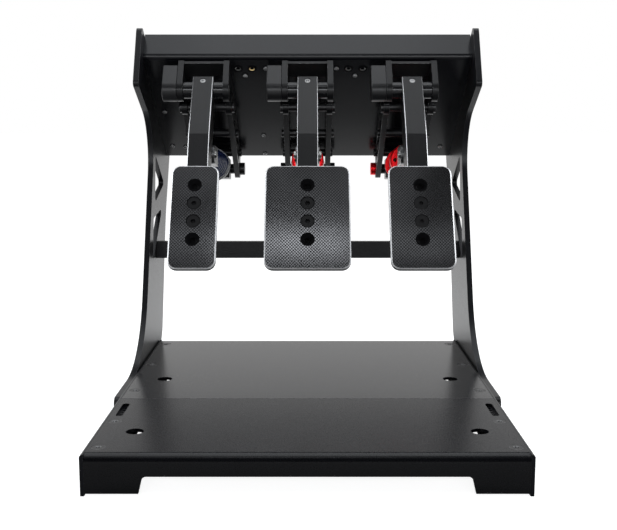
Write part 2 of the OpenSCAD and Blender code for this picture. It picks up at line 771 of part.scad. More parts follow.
module upright_bolts() {
    color(dark) both_sides() {
        from_foot() for (y = foot_bolt_y)
            translate([outer_x, y, (foot_top + foot_clear) / 2])
                bolt(bolt_d, bolt_head_d, bolt_head_h, upright_t + sheet_t);
        from_foot() for (side = [-1, 1])
            translate([outer_x, bar_y + bar_t / 2, bar_z + bar_h / 2 + side * bar_h / 4])
                bolt(bar_bolt_d, bar_h / 2 - past, bolt_head_h, upright_t + bar_bite - past);
        on_deck() for (u = deck_bolt_u)
            translate([outer_x, u, (deck_t + deck_side_h) / 2])
                bolt(bolt_d, bolt_head_d, bolt_head_h, upright_t + deck_t);
    }
}

// Deck and controller

module pedal_deck() {
    side_start = deck_bend_r + deck_t;
    color(black) on_deck() difference() {
        union() {
            slab(-inner_x, inner_x) polygon(rounded([
                [0, 0, deck_bend_r], [0, deck_flange_h, 0], [deck_t, deck_flange_h, 0],
                [deck_t, deck_t, deck_bend_r - deck_t], [deck_l - deck_t, deck_t, deck_bend_r - deck_t],
                [deck_l - deck_t, deck_back_h, 0], [deck_l, deck_back_h, 0], [deck_l, 0, deck_bend_r]]));
            both_sides() block([inner_x - deck_t, side_start, deck_t / 2],
                               [inner_x, deck_l - side_start, deck_side_h]);
        }
        both_sides() deck_bolts(bolt_d + 2 * fit_gap);
        for (x = jack_x) translate([x, jack_u, -past])
            cylinder(d = jack_d + 2 * fit_gap, h = deck_t + 2 * past);
        for (p = deck_screws_xu) translate([p.x, p.y, -past])
            cylinder(d = deck_screw_d + 2 * fit_gap, h = deck_t + 2 * past);
        side_bolts(module_bolt_d + 2 * fit_gap, deck_t + past);
    }
}

module deck_screws() {
    head_h = deck_screw_head_h;
    color(dark) on_deck() for (p = deck_screws_xu) translate([p.x, p.y, 0]) difference() {
        union() {
            cylinder(d = deck_screw_d, h = deck_t);
            translate([0, 0, -head_h])
                cylinder(d1 = deck_screw_head - head_h, d2 = deck_screw_head, h = head_h);
        }
        translate([0, 0, -head_h - past])
            cylinder(d = deck_screw_d * socket_share, h = past + head_h / 2, $fn = 6);
    }
}

module controller_case() {
    low = [-case_w / 2, case_u, deck_t];
    high = [case_w / 2, case_u + case_l, deck_t + case_h];
    wall = [case_wall, case_wall, 0];
    post = case_post_d;
    color(dark) on_deck() {
        difference() {
            block(low, high);
            block(low + wall - [0, 0, past], high - wall - [0, 0, case_wall]);
        }
        for (x = [-1, 1], u = [0, 1])
            translate([x * (case_w / 2 - case_wall - post), case_u + case_wall + post
                       + u * (case_l - 2 * case_wall - 2 * post), deck_t + board_rise + board_t])
                cylinder(d = post, h = case_h - board_rise - board_t - case_wall / 2);
    }
}

module circuit_boards() {
    edge = case_wall + board_gap;
    color([0.05, 0.3, 0.12]) {
        on_deck() block([-case_w / 2 + edge, case_u + edge, deck_t + board_rise],
                        [case_w / 2 - edge, case_u + case_l - edge, deck_t + board_rise + board_t]);
        for (x = pedal_xs) on_deck()
            translate([x - plate_out - sensor_w + sensor_wall, pivot.x, -pivot.y])
                block([0, -ear_r / 2, -ear_r / 2], [board_t, ear_r / 2, ear_r / 2]);
    }
}

module jack_sockets() {
    color(dark) on_deck() for (x = jack_x) translate([x, jack_u, -jack_proud]) difference() {
        cylinder(d = jack_d, h = jack_proud + deck_t + board_rise);
        translate([0, 0, -past]) cylinder(d = jack_hole_d, h = deck_t + board_rise);
    }
}

// Pedal modules, fixed pieces

// Screws down through the deck into the side plates' top edges
module side_bolts(d, top) {
    for (x = pedal_xs, side = [-1, 1], u = side_bolt_u)
        translate([x + side * (plate_in + plate_t / 2), u, -side_bolt_bite])
            cylinder(d = d, h = side_bolt_bite + top);
}

module module_bolts() {
    color(dark) on_deck() for (x = pedal_xs, side = [-1, 1], u = side_bolt_u)
        translate([x + side * (plate_in + plate_t / 2), u, deck_t]) rotate([0, -90, 0])
            bolt(module_bolt_d, module_head_d, module_head_h, deck_t + side_bolt_bite - past);
}

module ear_outline(r, top) {
    translate([pivot.x, -pivot.y]) circle(r);
    translate([pivot.x - r, -pivot.y]) square([2 * r, pivot.y - top]);
}

// Triangular cut-outs of a rail between two cross spacers, one against the other
module rail_truss(u0, u1) {
    high = -rail_margin;
    low = -rail_d + rail_margin;
    r = rail_truss_r;
    polygon(rounded([[u0, high, r], [u1 - rail_margin, high, r], [u0, low, r]]));
    polygon(rounded([[u1, high - rail_margin, r], [u1, low, r], [u0 + 2 * rail_margin, low, r]]));
}

module side_plate(x, side) {
    flip = side < 0 ? [1, 0, 0] : [0, 0, 0];
    on_deck() translate([x, 0, 0]) mirror(flip) difference() {
        slab(plate_in, plate_out) difference() {
            union() {
                ear_outline(ear_r, bridge_drop);
                translate([pivot.x - neck_lead, -neck_d]) square([spacer_a.x - pivot.x + neck_lead, neck_d]);
                translate([spacer_a.x - spacer_boss_r, -rail_d])
                    square([trunnion.x - spacer_a.x + spacer_boss_r, rail_d]);
                translate([spacer_a.x, -spacer_a.y]) circle(spacer_boss_r);
                translate([trunnion.x, -trunnion.y]) circle(rail_end_r);
            }
            rail_truss(spacer_a.x + spacer_boss_r + rail_margin, spacer_b.x - spacer_d);
            rail_truss(spacer_b.x + spacer_d, trunnion.x - rail_end_r - 2 * rail_margin);
            translate([pivot.x, -pivot.y]) circle(d = bush_d + 2 * fit_gap);
            translate([trunnion.x, -trunnion.y]) circle(d = journal_d + 2 * run_gap);
            for (p = spacers) translate([p.x, -p.y]) circle(d = spacer_screw_d + 2 * fit_gap);
        }
        for (u = side_bolt_u) translate([plate_in + plate_t / 2, u, -side_bolt_bite])
            cylinder(d = module_bolt_d + 2 * fit_gap, h = side_bolt_bite + past);
    }
}

module ear_bridges() {
    color(black) on_deck() for (x = pedal_xs)
        block([x - plate_in, pivot.x - ear_r + past, -bridge_drop - bridge_t],
              [x + plate_in, pivot.x + ear_r - past, -bridge_drop]);
}

module cross_spacers() {
    color(dark) on_deck() for (x = pedal_xs, p = spacers) translate([x, p.x, -p.y]) difference() {
        round_x(spacer_d, -plate_in, plate_in);
        both_sides() round_x(spacer_screw_d + 2 * fit_gap, plate_in - 2 * spacer_d, plate_in + past);
    }
}

module spacer_screws() {
    color(dark) on_deck() for (x = pedal_xs, p = spacers) translate([x, p.x, -p.y])
        both_sides() translate([plate_out, 0, 0])
            bolt(spacer_screw_d, p == spacer_a ? spacer_head_d : spacer_d, spacer_head_h, plate_t + spacer_d);
}

module pivot_bushes() {
    color(dark) on_deck() for (x = pedal_xs) translate([x, pivot.x, -pivot.y]) both_sides() difference() {
        union() {
            round_x(bush_d, plate_in - past, plate_out);
            round_x(bush_collar_d, arm_w / 2 + side_gap, plate_in);
        }
        round_x(shaft_d + 2 * run_gap, 0, plate_out + past);
    }
}

module sensor_housing(x) {
    color(black) on_deck() translate([x - plate_out - sensor_w, 0, 0]) difference() {
        slab(0, sensor_w) ear_outline(ear_r, sensor_drop);
        translate([sensor_wall, pivot.x, -pivot.y]) round_x(2 * (ear_r - sensor_wall), 0, sensor_w);
    }
}

module end_caps(x) {
    on_deck() translate([x, trunnion.x, -trunnion.y])
        both_sides() round_x(cap_d, plate_out, plate_out + cap_t);
}

module trunnion_caps() {
    color(dark) for (x = [clutch_x, brake_x]) end_caps(x);
}

module throttle_trunnion_caps() { color(red) end_caps(throttle_x); }

// Pedal arms and pads

// Round bar square to the arm's front face at the set screw, from depth y0 to y1
module face_bar(d, y0, y1, sides) {
    translate([0, set_screw_at.x, set_screw_at.y]) rotate([-atan2(-up_back.y, up_back.x), 0, 0])
        translate([0, y0, 0]) rotate([-90, 0, 0]) cylinder(d = d, h = y1 - y0, $fn = sides);
}

module pedal_arm(x) {
    color(black) difference() {
        on_pivot(x) {
            difference() {
                slab(-arm_w / 2, arm_w / 2) polygon(rounded([
                    [arm_top.x, arm_top.y, arm_front_r], [arm_kink.x, arm_kink.y, kink_r],
                    [arm_end.x, arm_end.y, arm_front_r], [arm_rear_end.x, arm_rear_end.y, arm_end_r],
                    [arm_rear_low.x, arm_rear_low.y, waist_r], [arm_rear_mid.x, arm_rear_mid.y, arm_back_r],
                    [arm_rear_top.x, arm_rear_top.y, arm_top_r]]));
                both_sides() translate([0, lug.x, lug.y])
                    round_x(2 * (fork_r + past), lug_w / 2, arm_w / 2 + past);
            }
            translate([0, lug.x, lug.y]) slab(-lug_w / 2, lug_w / 2) {
                circle(lug_r);
                rotate(90 - arm_lean) translate([-lug_r, 0]) square([2 * lug_r, arm_depth_mid - lug_r]);
            }
        }
        on_pivot(x) round_x(shaft_d + 2 * fit_gap, -arm_w, arm_w);
        on_pivot(x) translate([0, lug.x, lug.y]) round_x(clevis_pin_d + 2 * fit_gap, -arm_w, arm_w);
        on_pivot(x) face_bar(set_screw_d + 2 * fit_gap, -past, norm(arm_face), 48);
        on_arm(x) for (i = [1, 2]) translate([0, 0, pad_holes[i]])
            round_y(pad_screw_d + 2 * fit_gap, -past, pad_screw_bite + past);
    }
}

module pedal_pad(x, width) {
    front = -pad_standoff - pad_t;
    color(dark) on_arm(x) difference() {
        translate([0, -pad_standoff, -pad_mid]) rotate([90, 0, 0]) linear_extrude(pad_t)
            polygon(rounded([for (c = [[-1, -1], [1, -1], [1, 1], [-1, 1]])
                [c.x * width / 2, c.y * pad_h / 2, pad_r]]));
        for (z = pad_holes) translate([0, 0, z]) {
            round_y(pad_screw_d + 2 * fit_gap, front - past, 0);
            translate([0, front, 0]) rotate([-90, 0, 0])
                cylinder(d1 = pad_sink_d, d2 = pad_screw_d, h = pad_sink_h);
        }
    }
}

module pad_screw() {
    front = -pad_standoff - pad_t;
    recess = 0.5;
    socket_h = 2.4;
    head_d = pad_sink_d - recess * (pad_sink_d - pad_screw_d) / pad_sink_h - 2 * fit_gap;
    difference() {
        union() {
            round_y(pad_screw_d, front + recess, pad_screw_bite);
            translate([0, front + recess, 0]) rotate([-90, 0, 0])
                cylinder(d1 = head_d, d2 = pad_screw_d, h = pad_sink_h - recess - fit_gap);
        }
        translate([0, front, 0]) rotate([-90, 0, 0])
            cylinder(d = pad_screw_d * socket_share, h = recess + socket_h, $fn = 6);
    }
}

// Pad screws, their spacer sleeves, the set screw and the clevis pin
module arm_hardware(x) {
    set_screw_recess = 0.6;
    color(steel) {
        on_arm(x) for (i = [1, 2]) translate([0, 0, pad_holes[i]]) {
            pad_screw();
            difference() {
                round_y(sleeve_d, -pad_standoff, 0);
                round_y(pad_screw_d + 2 * fit_gap, -pad_standoff - past, past);
            }
        }
        on_pivot(x) difference() {
            face_bar(set_screw_d, set_screw_recess, norm(arm_face) - shaft_d / 2 - fit_gap, 48);
            face_bar(set_screw_d / 2, 0, set_screw_recess + set_screw_d / 3, 6);
        }
        on_pivot(x) translate([0, lug.x, lug.y])
            both_sides() round_x(clevis_pin_d, -past, fork_w / 2 + clevis_pin_proud);
    }
}

module pivot_shaft(x) {
    magnet_gap = 2;
    color(steel) on_pivot(x)
        round_x(shaft_d, -plate_out - sensor_w + sensor_wall + board_t + magnet_gap, plate_out);
}

// Spring units

module rod_fork(x) {
    prong_in = lug_w / 2 + side_gap;
    color(steel) on_stack(x) difference() {
        union() {
            both_sides() slab(prong_in, fork_w / 2) {
                circle(fork_r);
                translate([0, -fork_r]) square([fork_l, 2 * fork_r]);
            }
            block([-fork_w / 2, fork_crotch, -fork_r], [fork_w / 2, fork_l, fork_r]);
        }
        round_x(clevis_pin_d + 2 * clevis_play, -fork_w, fork_w);
        round_y(rod_d + 2 * fit_gap, fork_crotch + rod_seat, fork_l + past);
    }
}

module push_rod(x) {
    color(steel) on_stack(x) {
        round_y(rod_d, fork_crotch + rod_seat, stack_l + block_half + rod_tail);
        difference() {
            translate([0, fork_l, 0]) rotate([-90, 0, 0]) cylinder(d = nut_w / cos(30), h = nut_h, $fn = 6);
            round_y(rod_d + 2 * fit_gap, fork_l - past, fork_l + nut_h + past);
        }
    }
}

module preload_collar(x, front, d, hole_ring, hole_d) {
    wrench_holes = 6;
    on_stack(x) translate([0, front, 0]) rotate([-90, 0, 0]) difference() {
        rotate_extrude() polygon(rounded([
            [rod_d / 2 + run_gap, 0, 0], [d / 2, 0, collar_round], [d / 2, collar_t, seat_round],
            [rod_d / 2 + run_gap, collar_t, 0]]));
        for (i = [1 : wrench_holes]) rotate(i * 360 / wrench_holes) translate([hole_ring, 0, -past])
            cylinder(d = hole_d, h = collar_t + 2 * past);
    }
}

module clutch_preload_collar() {
    color(steel) preload_collar(clutch_x, clutch_collar_s, clutch_collar_d, clutch_hole_ring, clutch_hole_d);
}

// The brake's and the throttle's collar
module red_preload_collar(x) {
    color(red) preload_collar(x, collar_s, collar_d, collar_hole_ring, collar_hole_d);
}

module coil_spring(x, front, points, wire) {
    rings = len(points);
    last = (rings - 1) * coil_sides;
    walls = [for (i = [0 : rings - 2], k = [0 : coil_sides - 1])
        let(a = i * coil_sides + k, b = i * coil_sides + (k + 1) % coil_sides)
        each [[a, a + coil_sides, b], [b, a + coil_sides, b + coil_sides]]];
    ends = [for (k = [1 : coil_sides - 2]) each [[0, k, k + 1], [last, last + k + 1, last + k]]];
    on_stack(x) translate([0, front, 0]) rotate([-90, 0, 0])
        polyhedron([for (i = [0 : rings - 1]) each coil_ring(points, wire, i)], concat(walls, ends));
}

// Rubber bumpers with washers between them
module brake_bumpers() {
    bumpers = 3;
    pitch = (spring_l + washer_t + 2 * soft_gap) / bumpers;
    bumper_l = pitch - washer_t - 2 * soft_gap;
    color(dark) on_stack(brake_x) translate([0, spring_s, 0]) difference() {
        union() {
            for (i = [0 : bumpers - 1]) round_y(bumper_d, i * pitch, i * pitch + bumper_l);
            for (i = [1 : bumpers - 1])
                round_y(washer_d, i * pitch - soft_gap - washer_t, i * pitch - soft_gap);
        }
        round_y(rod_d + 2 * bumper_play, -past, spring_l + past);
    }
}

module spring_seat(x) {
    on_stack(x) translate([0, seat_s, 0]) rotate([-90, 0, 0]) rotate_extrude() polygon(rounded([
        [rod_d / 2 + run_gap, 0, 0], [seat_d / 2, 0, seat_round], [seat_d / 2, seat_t, seat_round],
        [rod_d / 2 + run_gap, seat_t, 0]]));
}

module trunnion_block(x) {
    journal_end = plate_out - side_gap;
    color(dark) on_stack(x) difference() {
        union() {
            round_y(guide_d, seat_s + seat_t, stack_l);
            translate([0, stack_l, 0]) {
                block([-block_w / 2, -block_half, -block_half], [block_w / 2, block_half, block_half]);
                round_x(journal_d, -journal_end, journal_end);
            }
        }
        round_y(rod_d + 2 * run_gap, seat_s, stack_l + 2 * block_half);
    }
}

floor_front();
floor_rear();
base_cheek_left();
base_cheek_right();
upright_left();
upright_right();
pedal_deck();
rear_crossbar();
controller_case();
circuit_boards();
jack_sockets();
floor_screws();
upright_bolts();
deck_screws();
module_bolts();
cross_spacers();
spacer_screws();
pivot_bushes();
ear_bridges();
trunnion_caps();
throttle_trunnion_caps();

color(black) side_plate(clutch_x, -1);  // clutch_side_plate_left
color(black) side_plate(clutch_x, 1);  // clutch_side_plate_right
sensor_housing(clutch_x);  // clutch_sensor_housing
pedal_arm(clutch_x);  // clutch_arm
pedal_pad(clutch_x, clutch_pad_w);  // clutch_pad
pivot_shaft(clutch_x);  // clutch_pivot_shaft
arm_hardware(clutch_x);  // clutch_arm_hardware
rod_fork(clutch_x);  // clutch_fork
push_rod(clutch_x);  // clutch_push_rod
clutch_preload_collar();
color(navy) coil_spring(clutch_x, clutch_spring_s, clutch_coil, clutch_wire_d);  // clutch_spring
color(steel) spring_seat(clutch_x);  // clutch_spring_seat
trunnion_block(clutch_x);  // clutch_trunnion

color(black) side_plate(brake_x, -1);  // brake_side_plate_left
color(black) side_plate(brake_x, 1);  // brake_side_plate_right
sensor_housing(brake_x);  // brake_sensor_housing
pedal_arm(brake_x);  // brake_arm
pedal_pad(brake_x, brake_pad_w);  // brake_pad
pivot_shaft(brake_x);  // brake_pivot_shaft
arm_hardware(brake_x);  // brake_arm_hardware
rod_fork(brake_x);  // brake_fork
push_rod(brake_x);  // brake_push_rod
red_preload_collar(brake_x);  // brake_preload_collar
brake_bumpers();
color(steel) spring_seat(brake_x);  // brake_load_cell
trunnion_block(brake_x);  // brake_trunnion

color(black) side_plate(throttle_x, -1);  // throttle_side_plate_left
color(black) side_plate(throttle_x, 1);  // throttle_side_plate_right
sensor_housing(throttle_x);  // throttle_sensor_housing
pedal_arm(throttle_x);  // throttle_arm
pedal_pad(throttle_x, throttle_pad_w);  // throttle_pad
pivot_shaft(throttle_x);  // throttle_pivot_shaft
arm_hardware(throttle_x);  // throttle_arm_hardware
rod_fork(throttle_x);  // throttle_fork
push_rod(throttle_x);  // throttle_push_rod
red_preload_collar(throttle_x);  // throttle_preload_collar
color(dark) coil_spring(throttle_x, spring_s, throttle_coil, wire_d);  // throttle_spring
color(red) spring_seat(throttle_x);  // throttle_spring_seat
trunnion_block(throttle_x);  // throttle_trunnion
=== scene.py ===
# Looks of a hanging three-pedal set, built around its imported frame. Metres, +Z up.
import json
import math

import bmesh
import bpy
from mathutils import Matrix, Vector

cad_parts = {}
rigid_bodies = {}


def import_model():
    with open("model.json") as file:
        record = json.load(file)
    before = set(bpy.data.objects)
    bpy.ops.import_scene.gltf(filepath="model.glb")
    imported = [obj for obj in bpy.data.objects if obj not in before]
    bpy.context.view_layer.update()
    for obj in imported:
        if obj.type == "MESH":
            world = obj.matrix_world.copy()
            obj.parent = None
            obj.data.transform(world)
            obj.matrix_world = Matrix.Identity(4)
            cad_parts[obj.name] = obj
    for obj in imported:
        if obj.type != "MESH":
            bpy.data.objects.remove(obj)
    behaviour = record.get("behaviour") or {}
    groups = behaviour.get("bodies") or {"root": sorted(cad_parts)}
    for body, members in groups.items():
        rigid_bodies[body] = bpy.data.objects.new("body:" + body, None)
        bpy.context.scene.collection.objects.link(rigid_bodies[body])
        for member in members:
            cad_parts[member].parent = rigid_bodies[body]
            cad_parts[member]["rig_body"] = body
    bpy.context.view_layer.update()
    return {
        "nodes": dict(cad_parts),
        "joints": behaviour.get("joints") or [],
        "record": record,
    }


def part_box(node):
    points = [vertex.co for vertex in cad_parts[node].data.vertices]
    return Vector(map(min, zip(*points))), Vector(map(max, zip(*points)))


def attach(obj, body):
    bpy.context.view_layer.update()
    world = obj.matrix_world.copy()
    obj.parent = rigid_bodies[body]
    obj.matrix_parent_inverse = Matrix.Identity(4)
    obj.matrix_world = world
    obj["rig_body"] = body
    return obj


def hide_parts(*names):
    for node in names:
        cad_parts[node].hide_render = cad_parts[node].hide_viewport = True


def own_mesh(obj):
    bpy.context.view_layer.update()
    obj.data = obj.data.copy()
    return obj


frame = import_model()
nodes = frame["nodes"]
SLOT_OF = {part["node"]: part["material_slot"] for part in frame["record"]["subparts"]}
joints = {joint["name"]: joint for joint in frame["joints"]}

MM = 0.001
PEDALS = ("clutch", "brake", "throttle")

# Camera, from the photograph of 617 by 530 pixels
CAMERA_AT = (0.00095, -0.938671, 0.2815)
CAMERA_PITCH = 81.58
CAMERA_LENS = 54.37
SENSOR_W = 36

# Slopes of the deck and of the lower arms and pads, in degrees
DECK_TILT = 36
ARM_LEAN = 29

# Cool white of the lamps
LAMP_TINT = (0.94, 0.97, 1.0)

# Floor: half its side, its shade, how much darker a painted shadow makes it where it is mirrored before the
# object, and its white glow
FLOOR_HALF = 40.0
FLOOR_SHADE = 0.4
MIRRORED_SHADOW = 0.2
FLOOR_GLOW = 0.9

# Light of the studio's walls
STUDIO_LIGHT = 0.28

# Roughness of clear coats
COAT_ROUGHNESS = 0.12

# Cleaning of a node's mesh: points this close are joined, and faces this flat, in degrees, are merged
SEAM = 0.004 * MM
FLAT_ANGLE = 0.4

# Chamfers: bright ones along the arms, and fine ones on small parts
ARM_CHAMFER = 0.6 * MM
FINE_CHAMFER = 0.3 * MM

# How far from an arm's sides their edges may lie, and the longest step of a screw's round outline
SIDE_SLACK = 0.1 * MM
SHORT_EDGE = 1 * MM

# Small parts of an arm, in the order of their coats
CLEVIS_PIN, PAD_SCREW, SET_SCREW = range(3)

# A set screw's socket lies within this share of its radius, and this share of its depth is filled
SOCKET_REACH = 0.75
SOCKET_FILL = 0.75

# Pads: knurl of flat-topped diamonds, silver rim and countersunk holes
KNURL_WIDTH = 3.0 * MM
KNURL_HEIGHT = 3.2 * MM
KNURL_DEPTH = 0.25 * MM
KNURL_TIP = 0.65 * MM
PAD_CORNER = 9 * MM
PAD_RIM = 1.3 * MM
PAD_HOLE_PITCH = 19 * MM
PAD_HOLE_RISE = 4.5 * MM
PAD_HOLES = (-1.5, -0.5, 0.5, 1.5)
PAD_SINK_D = 14 * MM
PAD_BORE_D = 6.04 * MM
PAD_SINK_H = 4 * MM

# Faces of a pad, in the order of their coats
ON_TIP, ON_RIM, ON_BACK, IN_HOLE, IN_GROOVE = range(5)

# Slacks by which a pad's faces are told apart
HOLE_SLACK = 0.05 * MM
RIM_SLACK = 0.01 * MM
SLANT_SLACK = 0.02

# How far up a pad's faces face: the rim's chamfer, and at least a tip and a groove's side
RIM_FACING = math.sqrt(0.5)
TIP_FACING = 0.95
GROOVE_FACING = 0.2

# Springs: turns closed at each end, and their sizes
SPRING_END_TURNS = 1.0
THROTTLE_SPRING = {"front_d": 30 * MM, "back_d": 30 * MM, "wire": 2.8 * MM, "turns": 7.5}
CLUTCH_SPRING = {"front_d": 22 * MM, "back_d": 36 * MM, "wire": 3 * MM, "turns": 8}

# Drawing of a coil: sides of its wire, steps to a turn, and pitch of the closed turns in wire widths
COIL_SIDES = 12
COIL_STEPS = 32
CLOSED_PITCH = 1.02

# Brake's bumpers with washers between them
BUMPERS = 3
BUMPER_BORE_R = 5.5 * MM
BUMPER_BULGE = 1.5 * MM
BULGE_STEPS = 8
WASHER_T = 1.5 * MM
WASHER_INSET = 0.8 * MM

# Steps to a turn of a round piece
ROUND_STEPS = 64

# Jack sockets: radius and depth of the steps of the mouth and of the contact sleeve in it, in mm
JACK_MOUTH = ((2.2, 9), (2.5, 9), (2.5, 1.2), (3.1, 0.5), (3.1, 0))
JACK_SLEEVE = ((3.05, 0.45), (3.05, 0.9), (2.55, 1.5), (2.3, 1.5), (2.3, 0.7))
JACK_CHAMFER = 0.3 * MM
JACK_STEPS = 40
GOLD_JACK = 1


# Materials

def new_material(name, colour, roughness, metallic):
    """A principled material and its tree, with the given plain values."""
    made = bpy.data.materials.new(name)
    made.use_nodes = True
    tree = made.node_tree
    shader = tree.nodes["Principled BSDF"]
    shader.inputs["Base Color"].default_value = (*colour, 1)
    shader.inputs["Roughness"].default_value = roughness
    shader.inputs["Metallic"].default_value = metallic
    made.diffuse_color = (*colour, 1)
    return made, tree, shader


def noise(tree, scale, detail):
    """Noise in the object's own metres, with about that many features to a metre."""
    place = tree.nodes.new("ShaderNodeTexCoord")
    texture = tree.nodes.new("ShaderNodeTexNoise")
    texture.inputs["Scale"].default_value = scale
    texture.inputs["Detail"].default_value = detail
    tree.links.new(place.outputs["Object"], texture.inputs["Vector"])
    return texture.outputs["Fac"]


def spread(tree, value, low, high, start=0.3, stop=0.7):
    """The value from start to stop, stretched to run from low to high."""
    ranged = tree.nodes.new("ShaderNodeMapRange")
    ranged.inputs["From Min"].default_value = start
    ranged.inputs["From Max"].default_value = stop
    ranged.inputs["To Min"].default_value = low
    ranged.inputs["To Max"].default_value = high
    tree.links.new(value, ranged.inputs["Value"])
    return ranged.outputs["Result"]


def shades(tree, value, dark, light, start=0.3, stop=0.7):
    """A colour between dark and light that follows the value from start to stop."""
    ramp = tree.nodes.new("ShaderNodeValToRGB")
    ramp.color_ramp.elements[0].position = start
    ramp.color_ramp.elements[0].color = (*dark, 1)
    ramp.color_ramp.elements[1].position = stop
    ramp.color_ramp.elements[1].color = (*light, 1)
    tree.links.new(value, ramp.inputs["Fac"])
    return ramp.outputs["Color"]


def bump(tree, shader, value, depth):
    """Bump of that depth in metres."""
    bumped = tree.nodes.new("ShaderNodeBump")
    bumped.inputs["Distance"].default_value = depth
    tree.links.new(value, bumped.inputs["Height"])
    tree.links.new(bumped.outputs["Normal"], shader.inputs["Normal"])


def maths(tree, operation, first, second):
    """The result of an operation on two values; the second may be a plain number."""
    step = tree.nodes.new("ShaderNodeMath")
    step.operation = operation
    tree.links.new(first, step.inputs[0])
    if isinstance(second, float):
        step.inputs[1].default_value = second
    else:
        tree.links.new(second, step.inputs[1])
    return step.outputs[0]


def tint(colour, share):
    """The colour made lighter or darker by a share."""
    return tuple(channel * share for channel in colour)


def finish(name, colour, roughness, metallic=0.0, vary=0.15, rough_vary=0.06, grain=900, depth=0.02 * MM,
           cloud=35, specular=0.5, coat=0.0):
    """A surface with clouded colour, uneven gloss and a fine grain."""
    made, tree, shader = new_material(name, colour, roughness, metallic)
    shader.inputs["Specular IOR Level"].default_value = specular
    shader.inputs["Coat Weight"].default_value = coat
    shader.inputs["Coat Roughness"].default_value = COAT_ROUGHNESS
    cloudy = shades(tree, noise(tree, cloud, detail=4), tint(colour, 1 - vary), tint(colour, 1 + vary))
    tree.links.new(cloudy, shader.inputs["Base Color"])
    fine = noise(tree, grain, detail=3)
    gloss = spread(tree, fine, roughness - rough_vary, roughness + rough_vary)
    tree.links.new(gloss, shader.inputs["Roughness"])
    bump(tree, shader, fine, depth)
    return made


def worn(name, colour, bare, roughness, metallic, wear=0.55, blend=0.08, dull=0.05, polish=0.1, patch=260,
         grain=1500, depth=0.01 * MM):
    """An edge whose coat is rubbed through to the bare metal in patches."""
    made, tree, shader = new_material(name, colour, roughness, metallic)
    patches = noise(tree, patch, detail=5)
    rubbed = shades(tree, patches, colour, bare, wear - blend, wear + blend)
    tree.links.new(rubbed, shader.inputs["Base Color"])
    gloss = spread(tree, patches, roughness + dull, roughness - polish)
    tree.links.new(gloss, shader.inputs["Roughness"])
    bump(tree, shader, noise(tree, grain, detail=2), depth)
    return made


# Colours
BLACK_COAT = (0.0045, 0.0047, 0.0062)
BLACK_ANODISED = (0.0055, 0.0055, 0.0062)
BARE_ALUMINIUM = (0.7, 0.7, 0.71)

# Finish of each slot
FINISH = {
    "powder_black": finish("powder_black", BLACK_COAT, 0.33, grain=1300, depth=0.02 * MM, specular=0.22),
    "anodised_black": finish("anodised_black", BLACK_ANODISED, 0.33, grain=2200, depth=0.01 * MM,
                             specular=0.2),
    "knurled_black": finish("knurled_black", (0.08, 0.08, 0.083), 0.12, metallic=0.85, grain=2600,
                            rough_vary=0.02, depth=0.001 * MM),
    "hardware_black": finish("hardware_black", (0.012, 0.012, 0.013), 0.32, metallic=0.4, grain=1800),
    "zinc_steel": finish("zinc_steel", (0.4, 0.4, 0.39), 0.33, metallic=1.0, grain=1500, vary=0.1),
    "anodised_red": finish("anodised_red", (0.95, 0.006, 0.012), 0.42, metallic=0.75, grain=2200, vary=0.05),
    "spring_navy": finish("spring_navy", (0.01, 0.02, 0.075), 0.3, grain=900, coat=0.2, vary=0.25),
    "spring_grey": finish("spring_grey", (0.2, 0.2, 0.2), 0.4, metallic=0.6, grain=900),
    "bumper_rubber": finish("bumper_rubber", (0.018, 0.018, 0.019), 0.72, grain=700, depth=0.08 * MM,
                            specular=0.3),
    "case_plastic": finish("case_plastic", (0.011, 0.011, 0.012), 0.34, grain=1000, depth=0.03 * MM,
                           specular=0.27),
    "board_green": finish("board_green", (0.008, 0.09, 0.03), 0.45, grain=400),
}

# Finishes of single pieces
FLOOR_FRONT = finish("floor_front", BLACK_COAT, 0.29, grain=1300, depth=0.008 * MM, specular=0.23)
FLOOR_REAR = finish("floor_rear", BLACK_COAT, 0.22, grain=1300, depth=0.008 * MM, specular=0.36)
DECK = finish("deck", BLACK_COAT, 0.19, rough_vary=0.03, grain=1300, depth=0.006 * MM, specular=0.25)
CHEEK = finish("cheek", BLACK_COAT, 0.33, grain=1300, depth=0.01 * MM, specular=0.1)
CROSSBAR = finish("crossbar", BLACK_COAT, 0.33, grain=1300, depth=0.01 * MM, specular=0.33)
FORK_STEEL = finish("fork_steel", (0.14, 0.14, 0.142), 0.36, metallic=0.9, grain=1500)
GLOSS_BLACK = finish("gloss_black", (0.008, 0.008, 0.009), 0.14, grain=1800, depth=0.002 * MM, specular=0.3)
# Darker and duller than the knurl's tips: painted shade on the sides of its grooves
GROOVE = finish("knurl_groove_painted_shade", (0.008, 0.008, 0.009), 0.45, grain=2600, specular=0.2)
SCREW_BLACK = finish("screw_black", (0.006, 0.006, 0.0065), 0.5, grain=1800, specular=0.14)
SCREW_STEEL = finish("screw_steel", (0.28, 0.28, 0.28), 0.45, metallic=0.9, grain=1500)
# Near black with almost no gloss: painted shade in pad holes, in jack mouths and in a ring round screw
# heads, and also the jack sockets' own black body
BLACK_AND_SHADE = finish("black_and_painted_shade", (0.003, 0.003, 0.0035), 0.5, grain=1800, specular=0.04)
GOLD = finish("gold_contact", (0.98, 0.74, 0.36), 0.36, grain=1200)
CONTACT = finish("bright_contact", (0.4, 0.4, 0.39), 0.22, metallic=0.7, grain=1200)
# Pale rims of the small black screws under the deck: painted highlights
SCREW_RIM_HIGHLIGHT = finish("screw_rim_painted_highlight", (0.55, 0.55, 0.55), 0.4, metallic=0.1, grain=1200)
